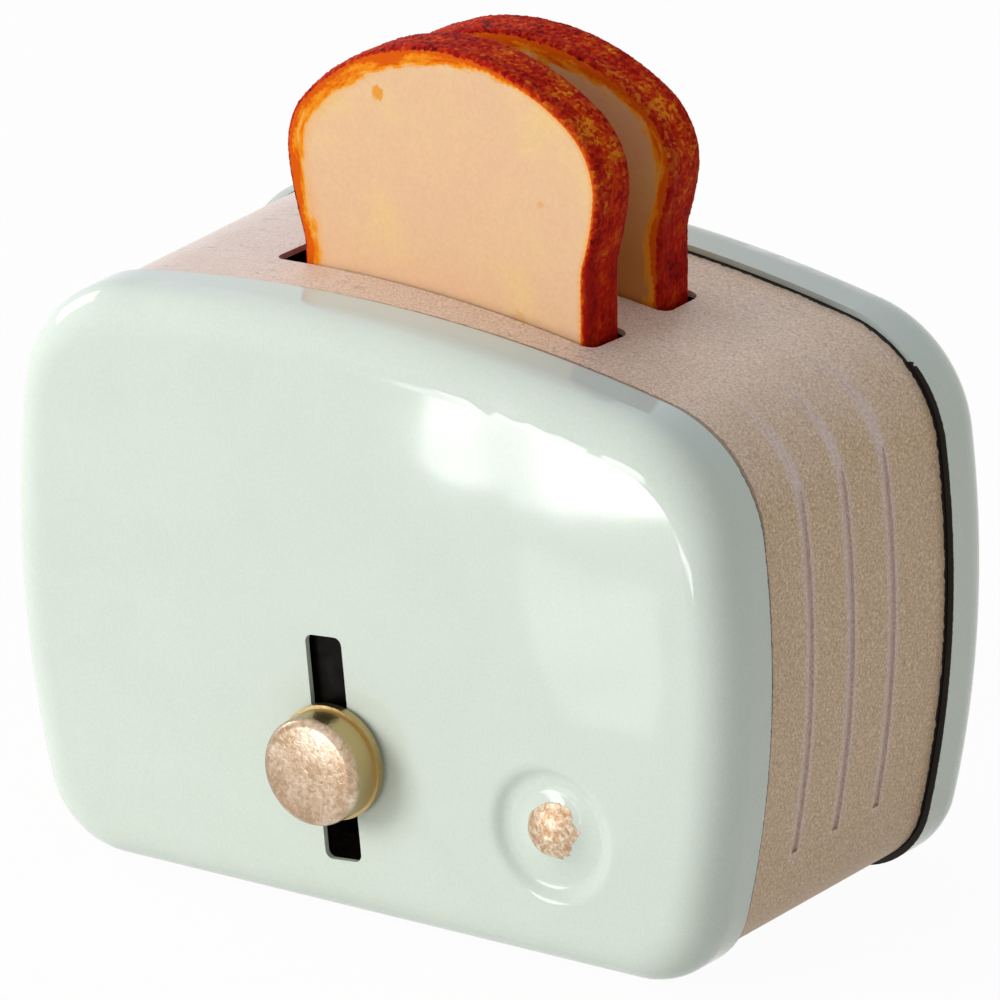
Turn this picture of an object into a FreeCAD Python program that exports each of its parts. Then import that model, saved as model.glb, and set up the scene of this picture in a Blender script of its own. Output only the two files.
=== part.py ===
import FreeCAD, Part
import math
import os

import Sketcher
from FreeCAD import Placement, Rotation, Vector

os.makedirs("parts", exist_ok=True)

# Toy toaster of pressed sheet metal: two enamelled pans (front and rear shell) close a coated
# band with two bread slots.  Inside, a lift carriage runs on two upright rods.  Its lever comes
# out through a slot in the front shell and ends in a knob, and the two bread slices stand on it.
#
# Frame: X across the front, Y from front to back, Z up, origin at the bottom centre of the
# overall box.  "Depth" below is counted from the front shell's face towards the back.

doc = FreeCAD.newDocument("toy_toaster")

# ---------------------------------------------------------------------------------------------
# Driving sizes, in millimetres and degrees
# ---------------------------------------------------------------------------------------------
SIZES = {
    # shells and band
    "shell_width": 62.0,
    "shell_height": 44.7,
    "shell_depth": 34.0,
    "sheet_gauge": 0.45,
    "rim_depth": 5.6,
    "face_edge_radius": 3.2,
    "crown_radius": 125.0,
    "crown_shift": -3.3,
    "side_bow_radius": 80.0,
    "widest_height": 24.0,
    "shoulder_radius": 10.0,
    "toe_radius": 6.8,
    "band_gap": 0.05,
    "band_end_gap": 0.2,
    "seam_gap": 0.3,
    # bread slots in the band and the sleeves under them
    "bread_slot_length": 28.8,
    "bread_slot_width": 4.4,
    "bread_slot_corner": 0.9,
    "bread_slot_spacing": 7.9,
    "bread_slot_shift": -0.7,
    "bread_slot_forward": 0.4,
    "front_slot_turn": 4.4,
    "sleeve_gauge": 0.4,
    "sleeve_height": 2.9,
    # upright grooves pressed into the band's sides
    "groove_width": 0.7,
    "groove_deep": 0.22,
    "groove_spacing": 5.15,
    "groove_count": 3,
    "groove_start": 11.2,
    "groove_low": 8.0,
    "groove_high": 38.6,
    # lever slot and round emboss in the front shell
    "lever_slot_width": 3.1,
    "lever_slot_length": 16.7,
    "lever_slot_corner": 0.6,
    "lever_slot_across": -2.6,
    "lever_slot_height": 12.9,
    "lever_slot_lean": 5.2,
    "emboss_across": 15.9,
    "emboss_height": 10.3,
    "emboss_radius": 5.4,
    "emboss_ring_radius": 3.8,
    "emboss_ring_deep": 0.6,
    "dome_rise": 0.25,
    # lever: knob, stem, washer and arm
    "knob_diameter": 8.0,
    "knob_reach": 3.6,
    "knob_edge": 0.7,
    "knob_flange_diameter": 8.5,
    "knob_flange_thick": 0.6,
    "knob_face_gap": 0.35,
    "knob_bore_deep": 2.2,
    "knob_height": 12.2,
    "knob_off_centre": 0.3,
    "stem_diameter": 1.6,
    "stem_head_diameter": 2.8,
    "stem_head_thick": 0.5,
    "washer_diameter": 6.0,
    "washer_thick": 0.4,
    "washer_gap": 0.05,
    "arm_width": 6.0,
    "arm_gauge": 0.8,
    "arm_below_stem": 3.0,
    "arm_overlap": 11.5,
    "arm_bend_radius": 1.4,
    "arm_rivet_spacing": 3.2,
    # lift carriage and its rods
    "shelf_drop": 16.25,
    "shelf_gauge": 0.8,
    "shelf_end_gap": 0.4,
    "shelf_width": 19.6,
    "shelf_corner": 2.0,
    "shelf_lip_height": 1.6,
    "shelf_lip_length": 32.0,
    "rod_diameter": 1.6,
    "rod_inset": 4.0,
    "bush_diameter": 3.6,
    "bush_length": 5.0,
    "bush_flange_diameter": 4.6,
    "bush_flange_thick": 0.8,
    "bush_running_gap": 0.04,
    # mechanism frame
    "frame_side_gap": 9.0,
    "frame_width": 10.0,
    "frame_gauge": 0.8,
    "frame_top_gap": 5.45,
    "frame_tab": 6.0,
    "frame_bend_radius": 1.4,
    "nut_across": 3.2,
    "nut_thick": 1.2,
    "rod_end": 0.2,
    # fasteners
    "rivet_diameter": 1.2,
    "rivet_head_diameter": 2.0,
    "rivet_head_thick": 0.4,
    "seam_rivet_across": 8.0,
    "seam_rivet_along": 6.0,
    "post_diameter": 3.0,
    "post_side_gap": 6.2,
    "post_bottom_gap": 10.0,
    "post_top_gap": 12.2,
    "post_thread_deep": 5.5,
    "screw_diameter": 1.6,
    "screw_length": 4.8,
    "screw_head_diameter": 3.2,
    "screw_head_thick": 0.9,
    "screw_slot_width": 0.5,
    "screw_slot_deep": 0.4,
    "screw_hole_gap": 0.1,
    # bread slices
    "front_slice_height": 34.1,
    "rear_slice_height": 32.7,
    "slice_side_gap": 0.3,
    "slice_end_gap": 0.4,
    "slice_waist": 1.8,
    "slice_widest": 26.0,
    "slice_neck": 17.0,
    "slice_neck_radius": 12.0,
    "slice_top_radius": 18.5,
    "slice_top_shift": 1.3,
    "slice_side_radius": 30.0,
    "slice_shoulder_radius": 6.0,
    "slice_crust_radius": 0.7,
    "slice_shift": 0.6,
    "slice_lift_gap": 0.05,
}

sheet = doc.addObject("Spreadsheet::Sheet", "Sizes")
for row, (alias, size) in enumerate(SIZES.items(), start=1):
    sheet.set("A%d" % row, alias)
    sheet.set("B%d" % row, str(size))
    sheet.setAlias("B%d" % row, alias)
reckoner = doc.addObject("Spreadsheet::Sheet", "Reckoner")
doc.recompute()


def ref(alias):
    """Name of a sheet cell, as an expression uses it."""
    if alias not in SIZES:
        raise KeyError(alias)
    return "Sizes." + alias


def number(expression):
    """Value of an expression of sheet cells, worked out in a cell of its own."""
    reckoner.set("A1", "=" + expression)
    reckoner.recompute()
    return float(reckoner.get("A1"))


# Places that several pieces share, as expressions of the sheet
WIDTH = ref("shell_width")
HEIGHT = ref("shell_height")
DEPTH = ref("shell_depth")
GAUGE = ref("sheet_gauge")
FRONT = "(%s - %s - %s) / 2" % (ref("knob_reach"), DEPTH, ref("screw_head_thick"))
MIDDLE = "%s + %s / 2" % (FRONT, DEPTH)
REAR = "%s + %s" % (FRONT, DEPTH)
BAND_OUTSIDE = "(%s + %s)" % (GAUGE, ref("band_gap"))
BAND_INSIDE = "(%s + %s)" % (BAND_OUTSIDE, GAUGE)
SHELF_TOP = "(%s - %s)" % (HEIGHT, ref("shelf_drop"))
SHELF_UNDER = "(%s - %s)" % (SHELF_TOP, ref("shelf_gauge"))
LEVER_X = ref("lever_slot_across")
LEVER_Z = ref("knob_height")
WASHER_FRONT = "(%s + %s)" % (GAUGE, ref("washer_gap"))
ARM_FRONT = "(%s + %s)" % (WASHER_FRONT, ref("washer_thick"))
ARM_BACK = "(%s + %s)" % (ARM_FRONT, ref("arm_gauge"))
SLOTS_MIDDLE = "(%s / 2 - %s)" % (DEPTH, ref("bread_slot_forward"))
FRAME_INSIDE = "(%s + %s)" % (BAND_INSIDE, ref("frame_gauge"))
FRAME_TOP = "(%s - %s)" % (HEIGHT, ref("frame_top_gap"))
FRAME_HALF = "(%s / 2 - %s)" % (WIDTH, ref("frame_side_gap"))
ROD_X = "(%s - %s)" % (FRAME_HALF, ref("rod_inset"))
SHELF_LENGTH = "(2 * (%s - %s - %s))" % (FRAME_HALF, ref("frame_gauge"), ref("shelf_end_gap"))
SLICE_THICK = "(%s - 2 * %s)" % (ref("bread_slot_width"), ref("slice_side_gap"))
SLICE_HALF = "(%s / 2 - %s)" % (ref("bread_slot_length"), ref("slice_end_gap"))
SLICE_WAIST_HALF = "(%s - %s)" % (SLICE_HALF, ref("slice_waist"))
TOUCH = 0.001    # two levels nearer than this count as one

SUBPARTS = []


# ---------------------------------------------------------------------------------------------
# Helpers: bodies, sketches and features
# ---------------------------------------------------------------------------------------------
def new_body(label, across="0", along="0", height="0", kept=True, turn=None):
    """Body with its own label, placed by three expressions and turned in plan by a fourth."""
    body = doc.addObject("PartDesign::Body", label)
    body.Label = label
    body.setExpression("Placement.Base.x", across)
    body.setExpression("Placement.Base.y", along)
    body.setExpression("Placement.Base.z", height)
    if turn:
        body.setExpression("Placement.Rotation.Angle", turn)
    if kept:
        SUBPARTS.append(body)
    return body


def new_sketch(body, name, plane, shift_x="0", shift_y="0", offset="0"):
    """Sketch on one of the body's origin planes, moved in the plane and along its normal."""
    support = [part for part in body.Origin.OriginFeatures if part.Role == plane][0]
    sketch = body.newObject("Sketcher::SketchObject", name)
    sketch.AttachmentSupport = [(support, "")]
    sketch.MapMode = "FlatFace"
    sketch.setExpression("AttachmentOffset.Base.x", shift_x)
    sketch.setExpression("AttachmentOffset.Base.y", shift_y)
    sketch.setExpression("AttachmentOffset.Base.z", offset)
    return sketch


def hold(sketch, kind, places, expression, name):
    """Add a driving dimension that follows an expression."""
    index = sketch.addConstraint(Sketcher.Constraint(kind, *places, number(expression)))
    sketch.renameConstraint(index, name)
    sketch.setExpression("Constraints." + name, expression)


def tie(sketch, kind, *places):
    """Add a constraint that has no size."""
    sketch.addConstraint(Sketcher.Constraint(kind, *places))


START, END, CENTRE = 1, 2, 3
ORIGIN = (-1, 1)
ACROSS_AXIS, UP_AXIS = -1, -2


def hold_point(sketch, geometry, end, across, up, name):
    """Dimension a point from the sketch's origin."""
    hold(sketch, "DistanceX", (*ORIGIN, geometry, end), across, name + "_across")
    hold(sketch, "DistanceY", (*ORIGIN, geometry, end), up, name + "_up")


def add_line(sketch, first, second):
    """Straight line between two (x, y) points."""
    return sketch.addGeometry(Part.LineSegment(Vector(*first, 0), Vector(*second, 0)))


def add_arc(sketch, centre, radius, first, second):
    """Arc about a centre, counter-clockwise from one (x, y) point to another."""
    circle = Part.Circle(Vector(*centre, 0), Vector(0, 0, 1), radius)
    angles = [math.atan2(point[1] - centre[1], point[0] - centre[0]) for point in (first, second)]
    if angles[1] <= angles[0]:
        angles[1] += 2 * math.pi
    return sketch.addGeometry(Part.ArcOfCircle(circle, *angles))


def add_circle(sketch, across, up, diameter, name):
    """Full circle with its place and diameter dimensioned."""
    centre = Vector(number(across), number(up), 0)
    index = sketch.addGeometry(Part.Circle(centre, Vector(0, 0, 1), number(diameter) / 2))
    hold_point(sketch, index, CENTRE, across, up, name)
    hold(sketch, "Diameter", (index,), diameter, name + "_diameter")
    return index


def add_polygon(sketch, corners, name):
    """Closed loop of straight lines through corners given as pairs of expressions."""
    points = [(number(across), number(up)) for across, up in corners]
    lines = [add_line(sketch, points[i - 1], points[i]) for i in range(len(points))]
    for i, (across, up) in enumerate(corners):
        tie(sketch, "Coincident", lines[i], END, lines[(i + 1) % len(lines)], START)
        hold_point(sketch, lines[i], END, across, up, "%s_%d" % (name, i))
    return lines


def add_rounded_rectangle(sketch, length, width, radius, name):
    """Rectangle with round corners, centred on the sketch's origin."""
    half_x, half_y, bend = number(length) / 2, number(width) / 2, number(radius)
    centres = [(half_x - bend, half_y - bend), (bend - half_x, half_y - bend),
               (bend - half_x, bend - half_y), (half_x - bend, bend - half_y)]
    arcs = []
    for i, (across, up) in enumerate(centres):
        circle = Part.Circle(Vector(across, up, 0), Vector(0, 0, 1), bend)
        arcs.append(sketch.addGeometry(Part.ArcOfCircle(circle, i * math.pi / 2, (i + 1) * math.pi / 2)))
    top = add_line(sketch, (half_x - bend, half_y), (bend - half_x, half_y))
    left = add_line(sketch, (-half_x, half_y - bend), (-half_x, bend - half_y))
    bottom = add_line(sketch, (bend - half_x, -half_y), (half_x - bend, -half_y))
    right = add_line(sketch, (half_x, bend - half_y), (half_x, half_y - bend))
    lines = [top, left, bottom, right]
    for i in range(4):
        tie(sketch, "Tangent", arcs[i], END, lines[i], START)
        tie(sketch, "Tangent", lines[i], END, arcs[(i + 1) % 4], START)
    tie(sketch, "Horizontal", top)
    tie(sketch, "Vertical", left)
    for other in arcs[1:]:
        tie(sketch, "Equal", arcs[0], other)
    hold(sketch, "Radius", (arcs[0],), radius, name + "_corner")
    hold_point(sketch, top, START, "%s / 2 - %s" % (length, radius), "%s / 2" % width, name + "_top")
    hold_point(sketch, bottom, START, "%s - %s / 2" % (radius, length), "-%s / 2" % width, name + "_bottom")


def add_pad(body, sketch, length, backwards=False, both_ways=False):
    """Pad a sketch along its normal, or against it."""
    pad = body.newObject("PartDesign::Pad", sketch.Name + "_pad")
    pad.Profile = sketch
    pad.setExpression("Length", length)
    pad.Reversed = backwards
    pad.Midplane = both_ways
    doc.recompute()
    return pad


def add_cut(body, sketch, length, backwards=False, both_ways=False):
    """Pocket a sketch against its normal, or along it, and make sure that it cuts."""
    before = body.Shape.Volume
    cut = body.newObject("PartDesign::Pocket", sketch.Name + "_cut")
    cut.Profile = sketch
    cut.setExpression("Length", length)
    cut.Reversed = backwards
    cut.Midplane = both_ways
    doc.recompute()
    if body.Shape.Volume >= before:
        raise ValueError("%s removes nothing" % cut.Name)
    return cut


def add_turning(body, sketch):
    """Turn a sketch about its upright axis."""
    turned = body.newObject("PartDesign::Revolution", sketch.Name + "_turned")
    turned.Profile = sketch
    turned.ReferenceAxis = (sketch, ["V_Axis"])
    turned.Angle = 360
    doc.recompute()
    return turned


def edges_at(feature, axis, level):
    """Names of the edges that lie wholly at one level along an axis (0, 1 or 2)."""
    names = []
    for index, edge in enumerate(feature.Shape.Edges, start=1):
        box = edge.BoundBox
        low = (box.XMin, box.YMin, box.ZMin)[axis]
        high = (box.XMax, box.YMax, box.ZMax)[axis]
        if abs(low - level) < TOUCH and abs(high - level) < TOUCH:
            names.append("Edge%d" % index)
    return names


def faces_at(feature, axis, level):
    """Names of the faces that lie wholly at one level along an axis (0, 1 or 2)."""
    names = []
    for index, face in enumerate(feature.Shape.Faces, start=1):
        box = face.BoundBox
        low = (box.XMin, box.YMin, box.ZMin)[axis]
        high = (box.XMax, box.YMax, box.ZMax)[axis]
        if abs(low - level) < TOUCH and abs(high - level) < TOUCH:
            names.append("Face%d" % index)
    return names


def add_fillet(body, feature, edges, radius):
    """Round the named edges of a feature."""
    fillet = body.newObject("PartDesign::Fillet", feature.Name + "_fillet")
    fillet.Base = (feature, edges)
    fillet.setExpression("Radius", radius)
    doc.recompute()
    return fillet


# ---------------------------------------------------------------------------------------------
# Toaster outline: crown, shoulders, bowed sides, toes and a flat bottom
# ---------------------------------------------------------------------------------------------
def between_arcs(first, first_radius, second, second_radius, radius, side):
    """Centre of the arc that rounds the corner of two arcs from inside, on the given side."""
    reach_one = first_radius - radius
    reach_two = second_radius - radius
    apart = Vector(second[0] - first[0], second[1] - first[1], 0)
    along = (apart.Length ** 2 + reach_one ** 2 - reach_two ** 2) / (2 * apart.Length)
    aside = math.sqrt(reach_one ** 2 - along ** 2)
    unit = apart / apart.Length
    normal = Vector(-unit.y, unit.x, 0)
    choices = [Vector(*first, 0) + unit * along + normal * aside * sign for sign in (1, -1)]
    best = max(choices, key=lambda point: point.dot(Vector(*side, 0)))
    return best.x, best.y


def on_circle(centre, radius, towards):
    """Point of a circle in the direction of another point."""
    way = Vector(towards[0] - centre[0], towards[1] - centre[1], 0)
    spot = Vector(*centre, 0) + way / way.Length * radius
    return spot.x, spot.y


def mirrored(point):
    """The same point on the other side of the upright axis."""
    return -point[0], point[1]


def add_outline(sketch, inset, name, facing=""):
    """Closed toaster outline, moved inwards by an inset.

    The crown's middle sits a little to one side.  Facing is "-" for a pan that is turned round.
    """
    gap = number(inset)
    crown = number(ref("crown_radius"))
    side = number(ref("side_bow_radius"))
    shoulder = number(ref("shoulder_radius"))
    toe = number(ref("toe_radius"))
    crown_across = facing + ref("crown_shift")
    crown_height = "%s - %s" % (HEIGHT, ref("crown_radius"))
    crown_at = (number(crown_across), number(crown_height))
    right_at = (number(WIDTH) / 2 - side, number(ref("widest_height")))
    left_at = mirrored(right_at)
    right_turn = between_arcs(crown_at, crown, right_at, side, shoulder, (1, 1))
    left_turn = between_arcs(crown_at, crown, left_at, side, shoulder, (-1, 1))
    toe_reach = side - toe
    toe_drop = right_at[1] - toe
    toe_at = (right_at[0] + math.sqrt(toe_reach ** 2 - toe_drop ** 2), toe)
    # tangent points, away from each big arc's centre through the small arc's centre
    right_crown = on_circle(crown_at, crown - gap, right_turn)
    left_crown = on_circle(crown_at, crown - gap, left_turn)
    right_top = on_circle(right_at, side - gap, right_turn)
    left_top = on_circle(left_at, side - gap, left_turn)
    right_low = on_circle(right_at, side - gap, toe_at)
    left_low = mirrored(right_low)
    toe_end = (toe_at[0], gap)

    chain = [
        add_arc(sketch, crown_at, crown - gap, right_crown, left_crown),
        add_arc(sketch, left_turn, shoulder - gap, left_crown, left_top),
        add_arc(sketch, left_at, side - gap, left_top, left_low),
        add_arc(sketch, mirrored(toe_at), toe - gap, left_low, mirrored(toe_end)),
        add_line(sketch, mirrored(toe_end), toe_end),
        add_arc(sketch, toe_at, toe - gap, toe_end, right_low),
        add_arc(sketch, right_at, side - gap, right_low, right_top),
        add_arc(sketch, right_turn, shoulder - gap, right_top, right_crown),
    ]
    for i, piece in enumerate(chain):
        tie(sketch, "Tangent", piece, END, chain[(i + 1) % len(chain)], START)
    top, left_shoulder, left_side, left_toe, bottom, right_toe, right_side, right_shoulder = chain
    for piece, size_name, word in (
            (top, "crown_radius", "crown"),
            (left_side, "side_bow_radius", "side_left"), (right_side, "side_bow_radius", "side_right"),
            (left_shoulder, "shoulder_radius", "shoulder_left"),
            (right_shoulder, "shoulder_radius", "shoulder_right"),
            (left_toe, "toe_radius", "toe_left"), (right_toe, "toe_radius", "toe_right")):
        hold(sketch, "Radius", (piece,), "%s - %s" % (ref(size_name), inset), name + "_" + word)
    side_across = "(%s / 2 - %s)" % (WIDTH, ref("side_bow_radius"))
    hold_point(sketch, top, CENTRE, crown_across, crown_height, name + "_crown")
    hold_point(sketch, right_side, CENTRE, side_across, ref("widest_height"), name + "_right")
    hold_point(sketch, left_side, CENTRE, "-" + side_across, ref("widest_height"), name + "_left")
    tie(sketch, "Horizontal", bottom)
    hold(sketch, "DistanceY", (*ORIGIN, bottom, START), inset, name + "_bottom")


def make_pan(label, along, facing=""):
    """Pressed pan: the outline drawn to the rim's depth, rounded at the face, open behind."""
    pan = new_body(label, along=along)
    outline = new_sketch(pan, label + "_outline", "XZ_Plane")
    add_outline(outline, "0", "pan", facing)
    drawn = add_pad(pan, outline, ref("rim_depth"), backwards=True)
    rounded = add_fillet(pan, drawn, edges_at(drawn, 1, 0.0), ref("face_edge_radius"))
    hollow = pan.newObject("PartDesign::Thickness", label + "_hollow")
    hollow.Base = (rounded, faces_at(rounded, 1, number(ref("rim_depth"))))
    hollow.setExpression("Value", GAUGE)
    hollow.Reversed = True
    hollow.Join = 1
    doc.recompute()
    return pan


# ---------------------------------------------------------------------------------------------
# Front shell: pan with the lever slot and the round emboss
# ---------------------------------------------------------------------------------------------
def add_wave(sketch, first, second, name):
    """Two equal arcs in an S from one level point to another, both ends parallel to the face."""
    x1, y1 = number(first[0]), number(first[1])
    x2, y2 = number(second[0]), number(second[1])
    run, drop = x2 - x1, y2 - y1
    half_turn = 2 * math.atan2(abs(drop), run)
    radius = run / 2 / math.sin(half_turn)
    way = math.copysign(1, drop)
    first_centre = (x1, y1 + way * radius)
    second_centre = (x2, y2 - way * radius)
    middle = ((x1 + x2) / 2, (y1 + y2) / 2)
    if way > 0:
        one = add_arc(sketch, first_centre, radius, (x1, y1), middle)
        two = add_arc(sketch, second_centre, radius, (x2, y2), middle)
        ends = (one, START, one, END, two, END, two, START)
    else:
        one = add_arc(sketch, first_centre, radius, middle, (x1, y1))
        two = add_arc(sketch, second_centre, radius, middle, (x2, y2))
        ends = (one, END, one, START, two, START, two, END)
    tie(sketch, "Tangent", ends[2], ends[3], ends[4], ends[5])
    tie(sketch, "Equal", one, two)
    hold_point(sketch, ends[0], ends[1], *first, name + "_from")
    hold_point(sketch, ends[6], ends[7], *second, name + "_to")
    hold(sketch, "DistanceX", (*ORIGIN, one, CENTRE), first[0], name + "_from_centre")
    return (ends[0], ends[1]), (ends[6], ends[7])


def add_emboss(shell):
    """Round mark pressed into the face: a ring groove about a low dome, one sheet thick."""
    radius = ref("emboss_radius")
    ring = ref("emboss_ring_radius")
    deep = ref("emboss_ring_deep")
    hole = new_sketch(shell, "emboss_hole", "XZ_Plane")
    add_circle(hole, ref("emboss_across"), ref("emboss_height"), "2 * " + radius, "emboss")
    add_cut(shell, hole, GAUGE)

    profile = new_sketch(shell, "emboss_profile", "XY_Plane",
                         shift_x=ref("emboss_across"), offset=ref("emboss_height"))
    crest = "-" + ref("dome_rise")
    outer_dome = add_wave(profile, ("0", crest), (ring, deep), "outer_dome")
    outer_lip = add_wave(profile, (ring, deep), (radius, "0"), "outer_lip")
    inner_crest = "%s + %s" % (crest, GAUGE)
    inner_deep = "%s + %s" % (deep, GAUGE)
    inner_dome = add_wave(profile, ("0", inner_crest), (ring, inner_deep), "inner_dome")
    inner_lip = add_wave(profile, (ring, inner_deep), (radius, GAUGE), "inner_lip")
    axis = add_line(profile, (0, number(crest)), (0, number(inner_crest)))
    edge = add_line(profile, (number(radius), 0), (number(radius), number(GAUGE)))
    for line, outer, inner in ((axis, outer_dome[0], inner_dome[0]), (edge, outer_lip[1], inner_lip[1])):
        tie(profile, "Coincident", line, START, *outer)
        tie(profile, "Coincident", line, END, *inner)
    add_turning(shell, profile)


def make_front_shell():
    """Front pan with its emboss and the slightly leaning lever slot."""
    shell = make_pan("front_shell", FRONT)
    add_emboss(shell)
    slot = new_sketch(shell, "lever_slot", "XZ_Plane", LEVER_X, ref("lever_slot_height"))
    slot.setExpression("AttachmentOffset.Rotation.Angle", ref("lever_slot_lean"))
    add_rounded_rectangle(slot, ref("lever_slot_width"), ref("lever_slot_length"),
                          ref("lever_slot_corner"), "slot")
    add_cut(shell, slot, GAUGE)


def post_places():
    """The four corners where posts tie the shells together, as expression pairs with names."""
    half = "(%s / 2 - %s)" % (WIDTH, ref("post_side_gap"))
    low = ref("post_bottom_gap")
    high = "(%s - %s)" % (HEIGHT, ref("post_top_gap"))
    return [("lower_left", "-" + half, low), ("lower_right", half, low),
            ("upper_left", "-" + half, high), ("upper_right", half, high)]


def make_rear_shell():
    """Rear pan, turned about the upright axis, with four screw holes."""
    shell = make_pan("rear_shell", REAR, facing="-")
    shell.Placement = Placement(shell.Placement.Base, Rotation(Vector(0, 0, 1), 180))
    holes = new_sketch(shell, "screw_holes", "XZ_Plane")
    for name, across, up in post_places():
        add_circle(holes, across, up, "%s + 2 * %s" % (ref("screw_diameter"), ref("screw_hole_gap")), name)
    add_cut(shell, holes, GAUGE)


# ---------------------------------------------------------------------------------------------
# Casing band between the shells
# ---------------------------------------------------------------------------------------------
def slot_places():
    """The two bread slots: name, depth from the front face and turn seen from above.

    The front slot is turned clockwise, so its left end lies further back.
    """
    front_turn = "-" + ref("front_slot_turn")
    return [("front", "%s - %s / 2" % (SLOTS_MIDDLE, ref("bread_slot_spacing")), front_turn),
            ("rear", "%s + %s / 2" % (SLOTS_MIDDLE, ref("bread_slot_spacing")), None)]


def seam_rivet_places():
    """The four rivets of the bottom seam, from the middle of the band."""
    across = "%s / 2" % ref("seam_rivet_across")
    along = "%s / 2" % ref("seam_rivet_along")
    return [("one", "-" + across, "-" + along), ("two", across, "-" + along),
            ("three", "-" + across, along), ("four", across, along)]


def add_side_grooves(band):
    """Rows of shallow upright grooves that follow each bowed side."""
    low, high = number(ref("groove_low")), number(ref("groove_high"))
    side = "%s - %s" % (ref("side_bow_radius"), BAND_OUTSIDE)
    floor = "%s - %s" % (side, ref("groove_deep"))
    middle = number(ref("widest_height"))
    for word, sign in (("right", 1), ("left", -1)):
        sketch = new_sketch(band, "groove_" + word, "XZ_Plane", offset="-" + ref("groove_start"))
        centre_x = sign * (number(WIDTH) / 2 - number(ref("side_bow_radius")))
        corners = []
        for radius in (number(floor), number(side)):
            reach = [sign * math.sqrt(radius ** 2 - (level - middle) ** 2) for level in (low, high)]
            corners.append([(centre_x + reach[0], low), (centre_x + reach[1], high)])
        arcs = []
        for radius, (bottom, top) in zip((number(floor), number(side)), corners):
            ends = (bottom, top) if sign > 0 else (top, bottom)
            arcs.append(add_arc(sketch, (centre_x, middle), radius, *ends))
        first_end, last_end = (START, END) if sign > 0 else (END, START)
        foot = add_line(sketch, corners[0][0], corners[1][0])
        head = add_line(sketch, corners[0][1], corners[1][1])
        for line, end in ((foot, first_end), (head, last_end)):
            tie(sketch, "Coincident", line, START, arcs[0], end)
            tie(sketch, "Coincident", line, END, arcs[1], end)
            tie(sketch, "Horizontal", line)
        across = "%d * (%s / 2 - %s)" % (sign, WIDTH, ref("side_bow_radius"))
        hold_point(sketch, arcs[0], CENTRE, across, ref("widest_height"), "floor")
        tie(sketch, "Coincident", arcs[0], CENTRE, arcs[1], CENTRE)
        hold(sketch, "Radius", (arcs[0],), floor, "floor_radius")
        hold(sketch, "Radius", (arcs[1],), side, "side_radius")
        hold(sketch, "DistanceY", (*ORIGIN, foot, START), ref("groove_low"), "foot_height")
        hold(sketch, "DistanceY", (*ORIGIN, head, START), ref("groove_high"), "head_height")
        cut = add_cut(band, sketch, ref("groove_width"), both_ways=True)
        row = band.newObject("PartDesign::LinearPattern", "groove_row_" + word)
        row.Originals = [cut]
        row.Direction = (sketch, ["N_Axis"])
        row.Reversed = True
        row.setExpression("Length", "%s * (%s - 1)" % (ref("groove_spacing"), ref("groove_count")))
        row.setExpression("Occurrences", ref("groove_count"))
        band.Tip = row
        doc.recompute()


def make_band():
    """Sheet band bent round the outline, seamed at the bottom, with two bread slots on top."""
    band = new_body("casing_band", along=FRONT)
    ends = "(%s + %s)" % (ref("face_edge_radius"), ref("band_end_gap"))
    outline = new_sketch(band, "band_outline", "XZ_Plane", offset="-" + ends)
    add_outline(outline, BAND_OUTSIDE, "outside")
    add_outline(outline, BAND_INSIDE, "inside")
    add_pad(band, outline, "%s - 2 * %s" % (DEPTH, ends), backwards=True)
    for word, depth, turn in slot_places():
        slot = new_sketch(band, "bread_slot_" + word, "XY_Plane", ref("bread_slot_shift"), depth,
                          "%s / 2" % HEIGHT)
        if turn:
            slot.setExpression("AttachmentOffset.Rotation.Angle", turn)
        add_rounded_rectangle(slot, ref("bread_slot_length"), ref("bread_slot_width"),
                              ref("bread_slot_corner"), "slot")
        add_cut(band, slot, HEIGHT, backwards=True)
    seam = new_sketch(band, "seam", "XY_Plane")
    half = "%s / 2" % ref("seam_gap")
    add_polygon(seam, [("-" + half, "0"), (half, "0"), (half, DEPTH), ("-" + half, DEPTH)], "seam")
    add_cut(band, seam, BAND_INSIDE, backwards=True)
    holes = new_sketch(band, "seam_rivet_holes", "XY_Plane", shift_y="%s / 2" % DEPTH)
    for name, across, along in seam_rivet_places():
        add_circle(holes, across, along, ref("rivet_diameter"), name)
    add_cut(band, holes, BAND_INSIDE, backwards=True)
    add_side_grooves(band)


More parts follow.
